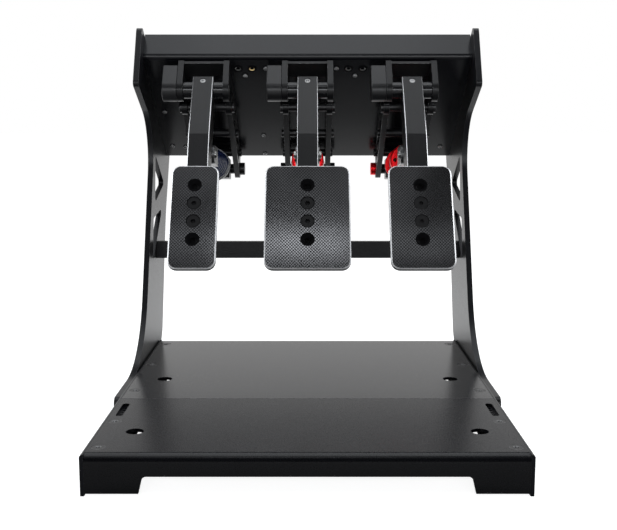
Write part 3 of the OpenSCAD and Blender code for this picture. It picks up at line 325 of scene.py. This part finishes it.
# Light rims of the black floor screws: painted highlights
FLOOR_SCREW_HIGHLIGHT = finish("floor_screw_painted_highlight", (0.17, 0.17, 0.172), 0.35, metallic=0.3, grain=1200)
SILVER_EDGE = finish("silver_edge", BARE_ALUMINIUM, 0.4, metallic=0.85, grain=2000, vary=0.08,
                     depth=0.001 * MM)
PLATE_EDGE = finish("plate_edge", (0.3, 0.3, 0.31), 0.36, metallic=0.9, grain=2000, vary=0.2,
                    depth=0.004 * MM)
STEEL_EDGE = finish("steel_edge", (0.5, 0.5, 0.49), 0.3, metallic=1.0, grain=1500)
COAT_EDGE = worn("powder_edge", (0.03, 0.03, 0.032), (0.12, 0.12, 0.125), roughness=0.42, metallic=0.2)
HARDWARE_EDGE = worn("hardware_edge", (0.04, 0.04, 0.042), (0.2, 0.2, 0.2), roughness=0.3, metallic=0.6)
RED_EDGE = worn("red_edge", (0.9, 0.015, 0.02), (0.9, 0.12, 0.11), roughness=0.36, metallic=0.7, wear=0.6)

# Coats of nodes that differ from their slot's finish, then the coats and widths of such nodes' edges
NODE_COAT = {
    "floor_front": FLOOR_FRONT,
    "floor_rear": FLOOR_REAR,
    "pedal_deck": DECK,
    "rear_crossbar": CROSSBAR,
    "base_cheek_left": CHEEK,
    "base_cheek_right": CHEEK,
    "pivot_bushes": GLOSS_BLACK,
    "clutch_preload_collar": FORK_STEEL,
    "clutch_spring_seat": FORK_STEEL,
    **{pedal + "_fork": FORK_STEEL for pedal in PEDALS},
}
NODE_EDGE = {
    # The screws' pale rims are painted highlights
    "deck_screws": (SCREW_RIM_HIGHLIGHT, 0.6 * MM),
    "floor_screws": (FLOOR_SCREW_HIGHLIGHT, 0.4 * MM),
    "ear_bridges": (COAT_EDGE, FINE_CHAMFER),
    "clutch_preload_collar": (FORK_STEEL, FINE_CHAMFER),
    "clutch_spring_seat": (FORK_STEEL, FINE_CHAMFER),
}

# Coat and width of each slot's edges
EDGE = {
    "powder_black": (COAT_EDGE, 0.5 * MM),
    "anodised_black": (PLATE_EDGE, 0.4 * MM),
    "hardware_black": (HARDWARE_EDGE, FINE_CHAMFER),
    "zinc_steel": (STEEL_EDGE, FINE_CHAMFER),
    "anodised_red": (RED_EDGE, 0.4 * MM),
    "case_plastic": (FINISH["case_plastic"], 0.8 * MM),
}


# Meshes

def place_object(name, mesh, materials):
    """A new object of that mesh and those materials."""
    made = bpy.data.objects.new(name, mesh)
    bpy.context.scene.collection.objects.link(made)
    for one in materials:
        mesh.materials.append(one)
    return made


def smooth(mesh, angle=32):
    """Smooth shading, with edges sharper than the angle kept crisp."""
    mesh.polygons.foreach_set("use_smooth", [True] * len(mesh.polygons))
    mesh.set_sharp_from_angle(angle=math.radians(angle))


def flat_faces_lead(piece):
    """Large flat faces keep their own normals where they meet a rounded edge."""
    step = piece.modifiers.new("normals", "WEIGHTED_NORMAL")
    step.mode = "FACE_AREA"
    step.weight = 100
    step.keep_sharp = True


def adopt(piece, node):
    """The piece stands for a node: it rides on the same body, and the node is hidden."""
    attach(piece, nodes[node]["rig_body"])
    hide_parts(node)
    return piece


def solid_copy(node):
    """The node's mesh as a clean bmesh, with its seams joined and flat faces merged."""
    made = bmesh.new()
    made.from_mesh(nodes[node].data)
    bmesh.ops.remove_doubles(made, verts=made.verts, dist=SEAM)
    bmesh.ops.dissolve_limit(made, angle_limit=math.radians(FLAT_ANGLE), verts=made.verts, edges=made.edges)
    return made


def groups(solid):
    """Lists of the vertices of each separate solid in a bmesh."""
    seen = set()
    found = []
    for first in solid.verts:
        if first in seen:
            continue
        seen.add(first)
        front = [first]
        group = []
        while front:
            vert = front.pop()
            group.append(vert)
            for edge in vert.link_edges:
                other = edge.other_vert(vert)
                if other not in seen:
                    seen.add(other)
                    front.append(other)
        found.append(group)
    return found


def chamfered(node, edge_w, wanted=None, least=35):
    """A clean copy of the node whose sharp edges are chamfers of material 1; wanted picks the edges."""
    solid = solid_copy(node)
    sharp = [e for e in solid.edges if len(e.link_faces) == 2 and e.calc_face_angle(0) > math.radians(least)]
    if wanted:
        sharp = [e for e in sharp if wanted(e)]
    bmesh.ops.bevel(solid, geom=sharp, offset=edge_w, offset_type="OFFSET", segments=1, profile=0.5,
                    affect="EDGES", clamp_overlap=True, material=1)
    return solid


def finished(node, solid, coats):
    """The object that stands for a node, from its bmesh and coats."""
    mesh = bpy.data.meshes.new(node + "_finished")
    solid.to_mesh(mesh)
    solid.free()
    smooth(mesh)
    piece = place_object(node + "_finished", mesh, coats)
    flat_faces_lead(piece)
    adopt(piece, node)


def on_a_circle(edge):
    """Whether an edge is one of the short steps of a screw's round outline."""
    return edge.calc_length() < SHORT_EDGE


def arm(pedal):
    """A pedal arm with bright chamfers along the edges of its two sides."""
    node = pedal + "_arm"
    low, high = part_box(node)
    middle = (low[0] + high[0]) / 2
    reach = (high[0] - low[0]) / 2 - SIDE_SLACK

    def on_a_side(edge):
        return all(abs(vert.co.x - middle) > reach for vert in edge.verts)

    solid = chamfered(node, ARM_CHAMFER, on_a_side)
    finished(node, solid, [FINISH[SLOT_OF[node]], SILVER_EDGE])


def shallow_socket(group):
    """Draws a screw's socket up to a quarter of its depth, so that its bottom catches the light."""
    faces = {face for vert in group for face in vert.link_faces}
    axis = -max(faces, key=lambda face: face.calc_area()).normal
    front = max(vert.co @ axis for vert in group)
    middle = sum((vert.co for vert in group), Vector()) / len(group)
    outward = {vert: (vert.co - middle).cross(axis).length for vert in group}
    reach = SOCKET_REACH * max(outward.values())
    for vert in group:
        if outward[vert] < reach:
            vert.co += SOCKET_FILL * (front - vert.co @ axis) * axis


def hardware(pedal):
    """An arm's small parts: black pad screws and sleeves, a dull set screw and a bright clevis pin."""
    node = pedal + "_arm_hardware"
    pad_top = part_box(pedal + "_pad")[1][2]
    fork_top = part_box(pedal + "_fork")[1][2]
    solid = chamfered(node, FINE_CHAMFER)
    for group in groups(solid):
        height = sum(vert.co.z for vert in group) / len(group)
        kind = CLEVIS_PIN
        if height < pad_top:
            kind = PAD_SCREW
        elif height > fork_top:
            kind = SET_SCREW
            shallow_socket(group)
        for face in {face for vert in group for face in vert.link_faces}:
            # Each kind has two coats: its own and that of its chamfers
            face.material_index += 2 * kind
    # The screws' chamfers take painted shade, a dark ring as if in a recess
    coats = [FINISH["zinc_steel"], STEEL_EDGE, SCREW_BLACK, BLACK_AND_SHADE, SCREW_STEEL, BLACK_AND_SHADE]
    finished(node, solid, coats)


def painted(node, coat):
    """The node as it is, with a coat."""
    mesh = nodes[node].data
    mesh.materials.clear()
    mesh.materials.append(coat)


def turned(angle):
    """Axes turned about X by that many degrees, as a matrix whose columns are the axes."""
    return Matrix.Rotation(math.radians(angle), 3, "X")


def box_round(verts, axes):
    """Lowest and highest corner of the box round some vertices, measured along turned axes."""
    points = [axes.transposed() @ vert.co for vert in verts]
    low = Vector([min(p[i] for p in points) for i in range(3)])
    high = Vector([max(p[i] for p in points) for i in range(3)])
    return low, high


def local_box(node, axes):
    """Lowest and highest corner of a node, measured along turned axes."""
    return box_round(nodes[node].data.vertices, axes)


def mesh_from(name, points, faces, axes, origin=Vector((0, 0, 0))):
    """A mesh of points that are given along turned axes."""
    mesh = bpy.data.meshes.new(name)
    mesh.from_pydata([axes @ (origin + Vector(p)) for p in points], [], faces)
    mesh.update()
    return mesh


def revolve(profile, steps=ROUND_STEPS):
    """Points and faces of a closed ring: a profile of (radius, height) turned about the height axis."""
    count = len(profile)
    points = []
    for i in range(steps):
        turn = 2 * math.pi * i / steps
        points += [(r * math.cos(turn), r * math.sin(turn), h) for r, h in profile]
    faces = []
    for i in range(steps):
        a = i * count
        b = (i + 1) % steps * count
        faces += [(a + k, b + k, b + (k + 1) % count, a + (k + 1) % count) for k in range(count)]
    return points, faces


# Pads

def rim_loop(width, height, corner, inset, steps=8):
    """Points of a rounded rectangle about the origin, drawn in by inset."""
    r = corner - inset
    points = []
    for quarter in range(4):
        sx = (1, -1, -1, 1)[quarter]
        sy = (1, 1, -1, -1)[quarter]
        for i in range(steps + 1):
            turn = math.pi / 2 * (quarter + i / steps)
            points.append((sx * (width / 2 - corner) + r * math.cos(turn),
                           sy * (height / 2 - corner) + r * math.sin(turn)))
    return points


def pad_blank(width, height, thick):
    """Closed solid of a pad's outline with a chamfered rim and its front plane at height 0."""
    loops = [(0, -thick), (0, -PAD_RIM), (PAD_RIM, 0)]
    points = []
    for inset, level in loops:
        points += [(x, y, level) for x, y in rim_loop(width, height, PAD_CORNER, inset)]
    count = len(points) // len(loops)
    faces = [tuple(reversed(range(count)))]
    for row in range(len(loops) - 1):
        for i in range(count):
            a = row * count + i
            b = row * count + (i + 1) % count
            faces.append((a, b, b + count, a + count))
    faces.append(tuple(range((len(loops) - 1) * count, len(loops) * count)))
    return points, faces


def knurled_block(width, height, thick):
    """Closed block whose top is a field of pointed diamonds across height 0, a little wider than the pad."""
    below = -2 * thick
    step_x = KNURL_WIDTH / 2
    step_y = KNURL_HEIGHT / 2
    columns = 2 * math.ceil(width / KNURL_WIDTH + 1)
    rows = 2 * math.ceil(height / KNURL_HEIGHT + 1)
    left = -columns / 2 * step_x
    low = -rows / 2 * step_y
    points = []
    for j in range(rows + 1):
        for i in range(columns + 1):
            level = KNURL_TIP if (i + j) % 2 == 0 else -KNURL_DEPTH
            points.append((left + i * step_x, low + j * step_y, level))
    faces = []
    for j in range(rows):
        for i in range(columns):
            a = j * (columns + 1) + i
            b, c, d = a + 1, a + columns + 2, a + columns + 1
            faces += [(a, b, d), (b, c, d)] if (i + j) % 2 == 0 else [(a, b, c), (a, c, d)]
    top = len(points)
    right = left + columns * step_x
    high = low + rows * step_y
    points += [(x, y, below) for x, y in ((left, low), (right, low), (right, high), (left, high))]
    front = list(range(columns + 1))
    back = [rows * (columns + 1) + i for i in front]
    west = [j * (columns + 1) for j in range(rows + 1)]
    east = [j * (columns + 1) + columns for j in range(rows + 1)]
    faces.append((top, top + 1, *reversed(front)))
    faces.append((top + 1, top + 2, *reversed(east)))
    faces.append((top + 2, top + 3, *back))
    faces.append((top + 3, top, *west))
    faces.append((top + 3, top + 2, top + 1, top))
    return points, faces


def sink_cutters(thick):
    """Closed cones and bores that cut a pad's countersunk holes."""
    over = 2 * KNURL_DEPTH
    below = -2 * thick
    profile = [(PAD_SINK_D / 2 + over, over), (PAD_BORE_D / 2, -PAD_SINK_H), (PAD_BORE_D / 2, below)]
    count = len(profile)
    steps = 48
    points = []
    faces = []
    for place in PAD_HOLES:
        first = len(points)
        middle = place * PAD_HOLE_PITCH + PAD_HOLE_RISE
        points += [(0, middle, over), (0, middle, below)]
        ring = len(points)
        for i in range(steps):
            turn = 2 * math.pi * i / steps
            points += [(r * math.cos(turn), middle + r * math.sin(turn), h) for r, h in profile]
        for i in range(steps):
            a = ring + count * i
            b = ring + count * ((i + 1) % steps)
            faces += [(first, a, b), (first + 1, b + 2, a + 2)]
            faces += [(a, a + 1, b + 1, b), (a + 1, a + 2, b + 2, b + 1)]
    return points, faces


def scratch(name, points, faces):
    """An object that is only used to cut another one."""
    mesh = bpy.data.meshes.new(name)
    mesh.from_pydata(points, [], faces)
    mesh.update()
    return place_object(name, mesh, [])


def carve(target, tool, operation):
    """Adds a boolean step to the target."""
    step = target.modifiers.new(operation.lower(), "BOOLEAN")
    step.solver = "MANIFOLD"
    step.operation = operation
    step.object = tool


def pad_face_coat(face, half_w, half_h):
    """Where a face of a pad lies: on a tip, the rim or the back, in a hole or in a groove of the knurl."""
    middle = face.center
    for place in PAD_HOLES:
        from_hole = math.hypot(middle.x, middle.y - place * PAD_HOLE_PITCH - PAD_HOLE_RISE)
        if from_hole < PAD_SINK_D / 2 + HOLE_SLACK:
            return IN_HOLE
    outward = max(abs(middle.x) - half_w, abs(middle.y) - half_h)
    at_edge = outward > -PAD_RIM - PAD_CORNER
    slanted = abs(face.normal.z - RIM_FACING) < SLANT_SLACK
    if at_edge and slanted and middle.z > -PAD_RIM - RIM_SLACK:
        round_x = abs(middle.x) - half_w + PAD_CORNER
        round_y = abs(middle.y) - half_h + PAD_CORNER
        if round_x > 0 and round_y > 0:
            outward = math.hypot(round_x, round_y) - PAD_CORNER
        if outward > -PAD_RIM:
            return ON_RIM
    if face.normal.z > TIP_FACING:
        return ON_TIP
    # The sides of the grooves take painted shade
    return IN_GROOVE if face.normal.z > GROOVE_FACING else ON_BACK


def pad(pedal):
    """A pad plate with a knurled face, a bright rim and countersunk holes."""
    node = pedal + "_pad"
    sine = math.sin(math.radians(ARM_LEAN))
    cosine = math.cos(math.radians(ARM_LEAN))
    axes = Matrix(((1, 0, 0), (0, sine, -cosine), (0, cosine, sine)))
    low, high = local_box(node, axes)
    width, height, thick = high - low
    blank = scratch("pad_blank", *pad_blank(width, height, thick))
    block = scratch("pad_block", *knurled_block(width, height, thick))
    cutter = scratch("pad_cutter", *sink_cutters(thick))
    carve(blank, block, "INTERSECT")
    carve(blank, cutter, "DIFFERENCE")
    mesh = bpy.data.meshes.new_from_object(blank.evaluated_get(bpy.context.evaluated_depsgraph_get()))
    for one in (blank, block, cutter):
        bpy.data.objects.remove(one)
    mesh.materials.clear()
    # The countersunk holes take painted shade
    coats = [FINISH["knurled_black"], SILVER_EDGE, FINISH["anodised_black"], BLACK_AND_SHADE, GROOVE]
    piece = place_object(node + "_knurled", mesh, coats)
    for face in mesh.polygons:
        face.material_index = pad_face_coat(face, width / 2, height / 2)
    middle = Vector(((low.x + high.x) / 2, (low.y + high.y) / 2, high.z))
    mesh.transform(Matrix.Translation(axes @ middle) @ axes.to_4x4())
    smooth(mesh, angle=20)
    adopt(piece, node)


# Springs and bumpers

def stack_axes(pedal):
    """Axes of a push rod: X across, Z along the rod from the arm to the trunnion."""
    along = Vector(joints[pedal + "_plunge"]["axis"]).normalized()
    if along.y < 0:
        along.negate()
    across = Vector((1, 0, 0))
    return Matrix((across, along.cross(across), along)).transposed()


def squeezed(piece):
    """The piece gets a mesh of its own."""
    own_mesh(piece)


def coil(pedal, front_d, back_d, wire, turns):
    """A coil spring with closed and ground ends, which may widen to the back."""
    node = pedal + "_spring"
    axes = stack_axes(pedal)
    low, high = local_box(node, axes)
    seat_low, seat_high = local_box(pedal + "_spring_seat", axes)
    middle = Vector(((seat_low.x + seat_high.x) / 2, (seat_low.y + seat_high.y) / 2, 0))
    length = high.z - low.z
    sides = COIL_SIDES
    steps = int(turns * COIL_STEPS)
    closed = wire * CLOSED_PITCH
    open_turns = turns - 2 * SPRING_END_TURNS
    pitch = (length - 2 * closed * SPRING_END_TURNS) / open_turns
    points = []
    for i in range(steps + 1):
        turn = turns * i / steps
        start = min(turn, SPRING_END_TURNS)
        stop = max(0.0, turn - turns + SPRING_END_TURNS)
        rise = closed * (start + stop) + pitch * (turn - start - stop)
        radius = (front_d + (back_d - front_d) * i / steps - wire) / 2
        angle = 2 * math.pi * turn
        out = Vector((math.cos(angle), math.sin(angle), 0))
        for k in range(sides):
            part = 2 * math.pi * k / sides
            point = out * (radius + wire / 2 * math.cos(part))
            point.z = low.z + min(max(rise + wire / 2 * math.sin(part), 0), length)
            points.append(point)
    faces = [tuple(range(sides)), tuple(reversed(range(steps * sides, (steps + 1) * sides)))]
    for i in range(steps):
        for k in range(sides):
            a = i * sides + k
            b = i * sides + (k + 1) % sides
            faces.append((a, a + sides, b + sides, b))
    mesh = mesh_from(node + "_coil", points, faces, axes, middle)
    smooth(mesh, angle=60)
    piece = adopt(place_object(node + "_coil", mesh, [FINISH[SLOT_OF[node]]]), node)
    squeezed(piece)


def bumper_stack():
    """The brake's rubber bumpers, bulged between steel washers."""
    node = "brake_bumpers"
    axes = stack_axes("brake")
    low, high = local_box(node, axes)
    middle = Vector(((low.x + high.x) / 2, (low.y + high.y) / 2, 0))
    outer = (high.x - low.x) / 2
    bore = BUMPER_BORE_R
    length = high.z - low.z
    pitch = (length + WASHER_T) / BUMPERS
    waist = outer - BUMPER_BULGE
    rubber = FINISH["bumper_rubber"]
    steel = FINISH["zinc_steel"]
    materials = [rubber, steel]
    points = []
    faces = []
    coats = []
    for i in range(BUMPERS):
        z0 = low.z + i * pitch
        z1 = z0 + pitch - WASHER_T
        bulge = []
        for k in range(BULGE_STEPS + 1):
            share = k / BULGE_STEPS
            bulge.append((waist + BUMPER_BULGE * math.sin(math.pi * share), z0 + (z1 - z0) * share))
        profiles = [([(bore, z0), *bulge, (bore, z1)], rubber)]
        if i < BUMPERS - 1:
            rim = outer - WASHER_INSET
            profiles.append(([(bore, z1), (rim, z1), (rim, z1 + WASHER_T), (bore, z1 + WASHER_T)], steel))
        for profile, coat in profiles:
            more_points, more_faces = revolve(profile)
            faces += [tuple(len(points) + k for k in face) for face in more_faces]
            coats += [materials.index(coat)] * len(more_faces)
            points += more_points
    mesh = mesh_from(node + "_stack", points, faces, axes, middle)
    piece = place_object(node + "_stack", mesh, materials)
    mesh.polygons.foreach_set("material_index", coats)
    smooth(mesh, angle=40)
    adopt(piece, node)
    squeezed(piece)


# Jack sockets

def islands(node):
    """Boxes, along the deck's axes, of the separate solids of a node, from left to right."""
    axes = turned(-DECK_TILT)
    mesh = bmesh.new()
    mesh.from_mesh(nodes[node].data)
    bmesh.ops.remove_doubles(mesh, verts=mesh.verts, dist=SEAM)
    found = [box_round(group, axes) for group in groups(mesh)]
    mesh.free()
    return sorted(found, key=lambda box: box[0].x)


def jacks():
    """Round jack sockets with a collar nut, a stepped mouth and a contact sleeve."""
    node = "jack_sockets"
    axes = turned(-DECK_TILT)
    # The socket's body is black, and painted shade fills its mouth
    materials = [BLACK_AND_SHADE, CONTACT, GOLD]
    points = []
    faces = []
    coats = []
    for number, (low, high) in enumerate(islands(node)):
        middle = Vector(((low.x + high.x) / 2, (low.y + high.y) / 2, 0))
        outer = (high.x - low.x) / 2
        mouth = low.z
        inside = [(r * MM, mouth + depth * MM) for r, depth in JACK_MOUTH]
        body = [(outer, mouth + JACK_CHAMFER), (outer, high.z), (inside[0][0], high.z), *inside,
                (outer - JACK_CHAMFER, mouth)]
        sleeve = [(r * MM, mouth + depth * MM) for r, depth in JACK_SLEEVE]
        for profile, coat in ((body, BLACK_AND_SHADE), (sleeve, GOLD if number == GOLD_JACK else CONTACT)):
            more_points, more_faces = revolve(profile, JACK_STEPS)
            faces += [tuple(reversed([len(points) + k for k in face])) for face in more_faces]
            coats += [materials.index(coat)] * len(more_faces)
            points += [tuple(middle + Vector(p)) for p in more_points]
    mesh = mesh_from("jacks", points, faces, axes)
    piece = place_object("jack_sockets_turned", mesh, materials)
    mesh.polygons.foreach_set("material_index", coats)
    smooth(mesh)
    adopt(piece, node)


# Stage

def floor():
    """A pale floor that shows as white and keeps the object's shadow; where it is mirrored, a painted shadow
    darkens it in front of and near the object.
    """
    half = FLOOR_HALF
    mesh = bpy.data.meshes.new("stage_floor")
    corners = [(-half, -half, 0), (half, -half, 0), (half, half, 0), (-half, half, 0)]
    mesh.from_pydata(corners, [], [(0, 1, 2, 3)])
    made = bpy.data.materials.new("stage_white")
    made.use_nodes = True
    tree = made.node_tree
    tree.nodes.clear()
    output = tree.nodes.new("ShaderNodeOutputMaterial")
    diffuse = tree.nodes.new("ShaderNodeBsdfDiffuse")
    glow = tree.nodes.new("ShaderNodeEmission")
    path = tree.nodes.new("ShaderNodeLightPath")
    place = tree.nodes.new("ShaderNodeTexCoord")
    split = tree.nodes.new("ShaderNodeSeparateXYZ")
    tree.links.new(place.outputs["Object"], split.inputs["Vector"])
    # Painted shadow: where the floor is mirrored, its shade is darker in front of the object
    darker = spread(tree, split.outputs["Y"], low=-MIRRORED_SHADOW, high=0.0, start=0.05, stop=0.25)
    pale = maths(tree, "ADD", maths(tree, "MULTIPLY", darker, path.outputs["Is Glossy Ray"]), FLOOR_SHADE)
    tree.links.new(pale, diffuse.inputs["Color"])
    # Its glow where it is mirrored is bright far in front and behind, and fades to almost nothing near the
    # object: a painted shadow
    before = spread(tree, split.outputs["Y"], low=0.6, high=0.02, start=-0.6, stop=-0.26)
    behind = spread(tree, split.outputs["Y"], low=0.02, high=FLOOR_GLOW, start=0.25, stop=0.35)
    mirrored = maths(tree, "MULTIPLY", maths(tree, "MAXIMUM", before, behind), path.outputs["Is Glossy Ray"])
    looked_at = maths(tree, "MAXIMUM", path.outputs["Is Camera Ray"], path.outputs["Is Transmission Ray"])
    seen = maths(tree, "MULTIPLY", looked_at, FLOOR_GLOW)
    tree.links.new(maths(tree, "MAXIMUM", seen, mirrored), glow.inputs["Strength"])
    total = tree.nodes.new("ShaderNodeAddShader")
    tree.links.new(diffuse.outputs[0], total.inputs[0])
    tree.links.new(glow.outputs[0], total.inputs[1])
    tree.links.new(total.outputs[0], output.inputs["Surface"])
    place_object("stage_floor", mesh, [made])


def world():
    """A studio that lights softly, shows as white, and mirrors as a white wall low behind the object."""
    made = bpy.data.worlds.new("studio")
    bpy.context.scene.world = made
    made.use_nodes = True
    tree = made.node_tree
    tree.nodes.clear()
    output = tree.nodes.new("ShaderNodeOutputWorld")
    dim = tree.nodes.new("ShaderNodeBackground")
    dim.inputs["Color"].default_value = (1, 1, 1, 1)
    dim.inputs["Strength"].default_value = STUDIO_LIGHT
    white = tree.nodes.new("ShaderNodeBackground")
    white.inputs["Color"].default_value = (1, 1, 1, 1)
    white.inputs["Strength"].default_value = 1.0
    path = tree.nodes.new("ShaderNodeLightPath")
    place = tree.nodes.new("ShaderNodeTexCoord")
    split = tree.nodes.new("ShaderNodeSeparateXYZ")
    tree.links.new(place.outputs["Generated"], split.inputs["Vector"])
    behind = spread(tree, split.outputs["Y"], low=0.03, high=1.0, start=0.1, stop=0.75)
    low = spread(tree, split.outputs["Z"], low=1.0, high=0.08, start=0.2, stop=0.48)
    sideways = maths(tree, "MULTIPLY", split.outputs["X"], split.outputs["X"])
    aside = spread(tree, sideways, low=1.0, high=1.35, start=0.0225, stop=0.0625)
    wall = maths(tree, "MULTIPLY", maths(tree, "MULTIPLY", behind, low), aside)
    mirrored = maths(tree, "MULTIPLY", wall, path.outputs["Is Glossy Ray"])
    looked_at = maths(tree, "MAXIMUM", path.outputs["Is Camera Ray"], path.outputs["Is Transmission Ray"])
    black = tree.nodes.new("ShaderNodeBackground")
    black.inputs["Color"].default_value = (0, 0, 0, 1)
    softly = tree.nodes.new("ShaderNodeMixShader")
    tree.links.new(path.outputs["Is Glossy Ray"], softly.inputs["Fac"])
    tree.links.new(dim.outputs[0], softly.inputs[1])
    tree.links.new(black.outputs[0], softly.inputs[2])
    mixed = tree.nodes.new("ShaderNodeMixShader")
    tree.links.new(maths(tree, "MAXIMUM", looked_at, mirrored), mixed.inputs["Fac"])
    tree.links.new(softly.outputs[0], mixed.inputs[1])
    tree.links.new(white.outputs[0], mixed.inputs[2])
    tree.links.new(mixed.outputs[0], output.inputs["Surface"])


def lamp(name, at, aim, size, power):
    """A soft oblong lamp of cool white at a point, aimed at another, with its power in watts."""
    data = bpy.data.lights.new(name, "AREA")
    data.color = LAMP_TINT
    data.shape = "RECTANGLE"
    data.size, data.size_y = size
    data.energy = power
    made = bpy.data.objects.new(name, data)
    made.location = at
    made.rotation_euler = (Vector(aim) - Vector(at)).to_track_quat("-Z", "Y").to_euler()
    bpy.context.scene.collection.objects.link(made)
    return made


def keep_off(light, names):
    """Keeps a lamp's light off the pieces of those names."""
    spared = bpy.data.collections.new(light.name + "_spared")
    for name in names:
        spared.objects.link(bpy.data.objects[name])
    for entry in spared.collection_objects:
        entry.light_linking.link_state = "EXCLUDE"
    light.light_linking.receiver_collection = spared


def camera():
    """The photograph's camera."""
    data = bpy.data.cameras.new("camera")
    data.sensor_width = SENSOR_W
    data.lens = CAMERA_LENS
    made = bpy.data.objects.new("camera", data)
    made.location = CAMERA_AT
    made.rotation_euler = (math.radians(CAMERA_PITCH), 0, 0)
    bpy.context.scene.collection.objects.link(made)
    bpy.context.scene.camera = made


# Camera, stage and soft lamps
camera()
floor()
world()
lamp("top", at=(0, -0.19, 1.7), aim=(0, -0.19, 0.2), size=(1.95, 0.72), power=11.5)
lamp("top_middle", at=(0, -0.19, 1.69), aim=(0, -0.19, 0.2), size=(0.6, 0.72), power=0.8)
lamp("front", at=(0, -1.073, 1.42), aim=(0, -0.045, 0.16), size=(0.9, 0.08), power=0.35)
lamp("front_middle", at=(-0.06, -1.068, 1.415), aim=(-0.01, -0.045, 0.16), size=(0.36, 0.07), power=0.5)
lamp("front_fill", at=(-0.25, -0.85, 1.68), aim=(0, -0.02, 0.2), size=(1.2, 0.4), power=1.05)
lamp("left_fill", at=(-0.55, -0.85, 1.67), aim=(0, -0.02, 0.2), size=(0.7, 0.4), power=0.3)
low_front = lamp("low_front", at=(0, -1.3, 0.45), aim=(0, 0.05, 0.24), size=(1.2, 0.3), power=7.5)
lamp("back_top", at=(0, 0.6, 1.6), aim=(0, 0.2, 0.3), size=(1.6, 0.7), power=9)
for side in (-1, 1):
    lamp("rim", at=(side * 1.15, 0.62, 1.0), aim=(0, 0, 0.25), size=(0.5, 0.9), power=5)
    lamp("side", at=(side * 1.5, 0.2, 0.7), aim=(0, 0.1, 0.2), size=(0.9, 1.2), power=7)
bpy.context.scene.view_settings.view_transform = "Standard"

# Pieces with a form of their own
for pedal in PEDALS:
    pad(pedal)
    arm(pedal)
    hardware(pedal)
coil("clutch", **CLUTCH_SPRING)
coil("throttle", **THROTTLE_SPRING)
bumper_stack()
jacks()

# Every other node, in the finish of its slot; what lies hidden has no chamfers
MADE = {"jack_sockets", "clutch_spring", "throttle_spring", "brake_bumpers"}
for pedal in PEDALS:
    MADE |= {pedal + "_pad", pedal + "_arm", pedal + "_arm_hardware"}
HIDDEN = {"circuit_boards", *[p + "_pivot_shaft" for p in PEDALS]}
for node in sorted(set(nodes) - MADE):
    slot_name = SLOT_OF[node]
    if node in HIDDEN or slot_name not in EDGE:
        painted(node, FINISH[slot_name])
        continue
    edge_coat, edge_w = NODE_EDGE.get(node, EDGE[slot_name])
    coats = [NODE_COAT.get(node, FINISH[slot_name]), edge_coat]
    wanted = on_a_circle if node == "deck_screws" else None
    finished(node, chamfered(node, edge_w, wanted), coats)

# Seen from behind, the low front lamp would glare on the floor plates
keep_off(low_front, ("floor_front_finished", "floor_rear_finished"))
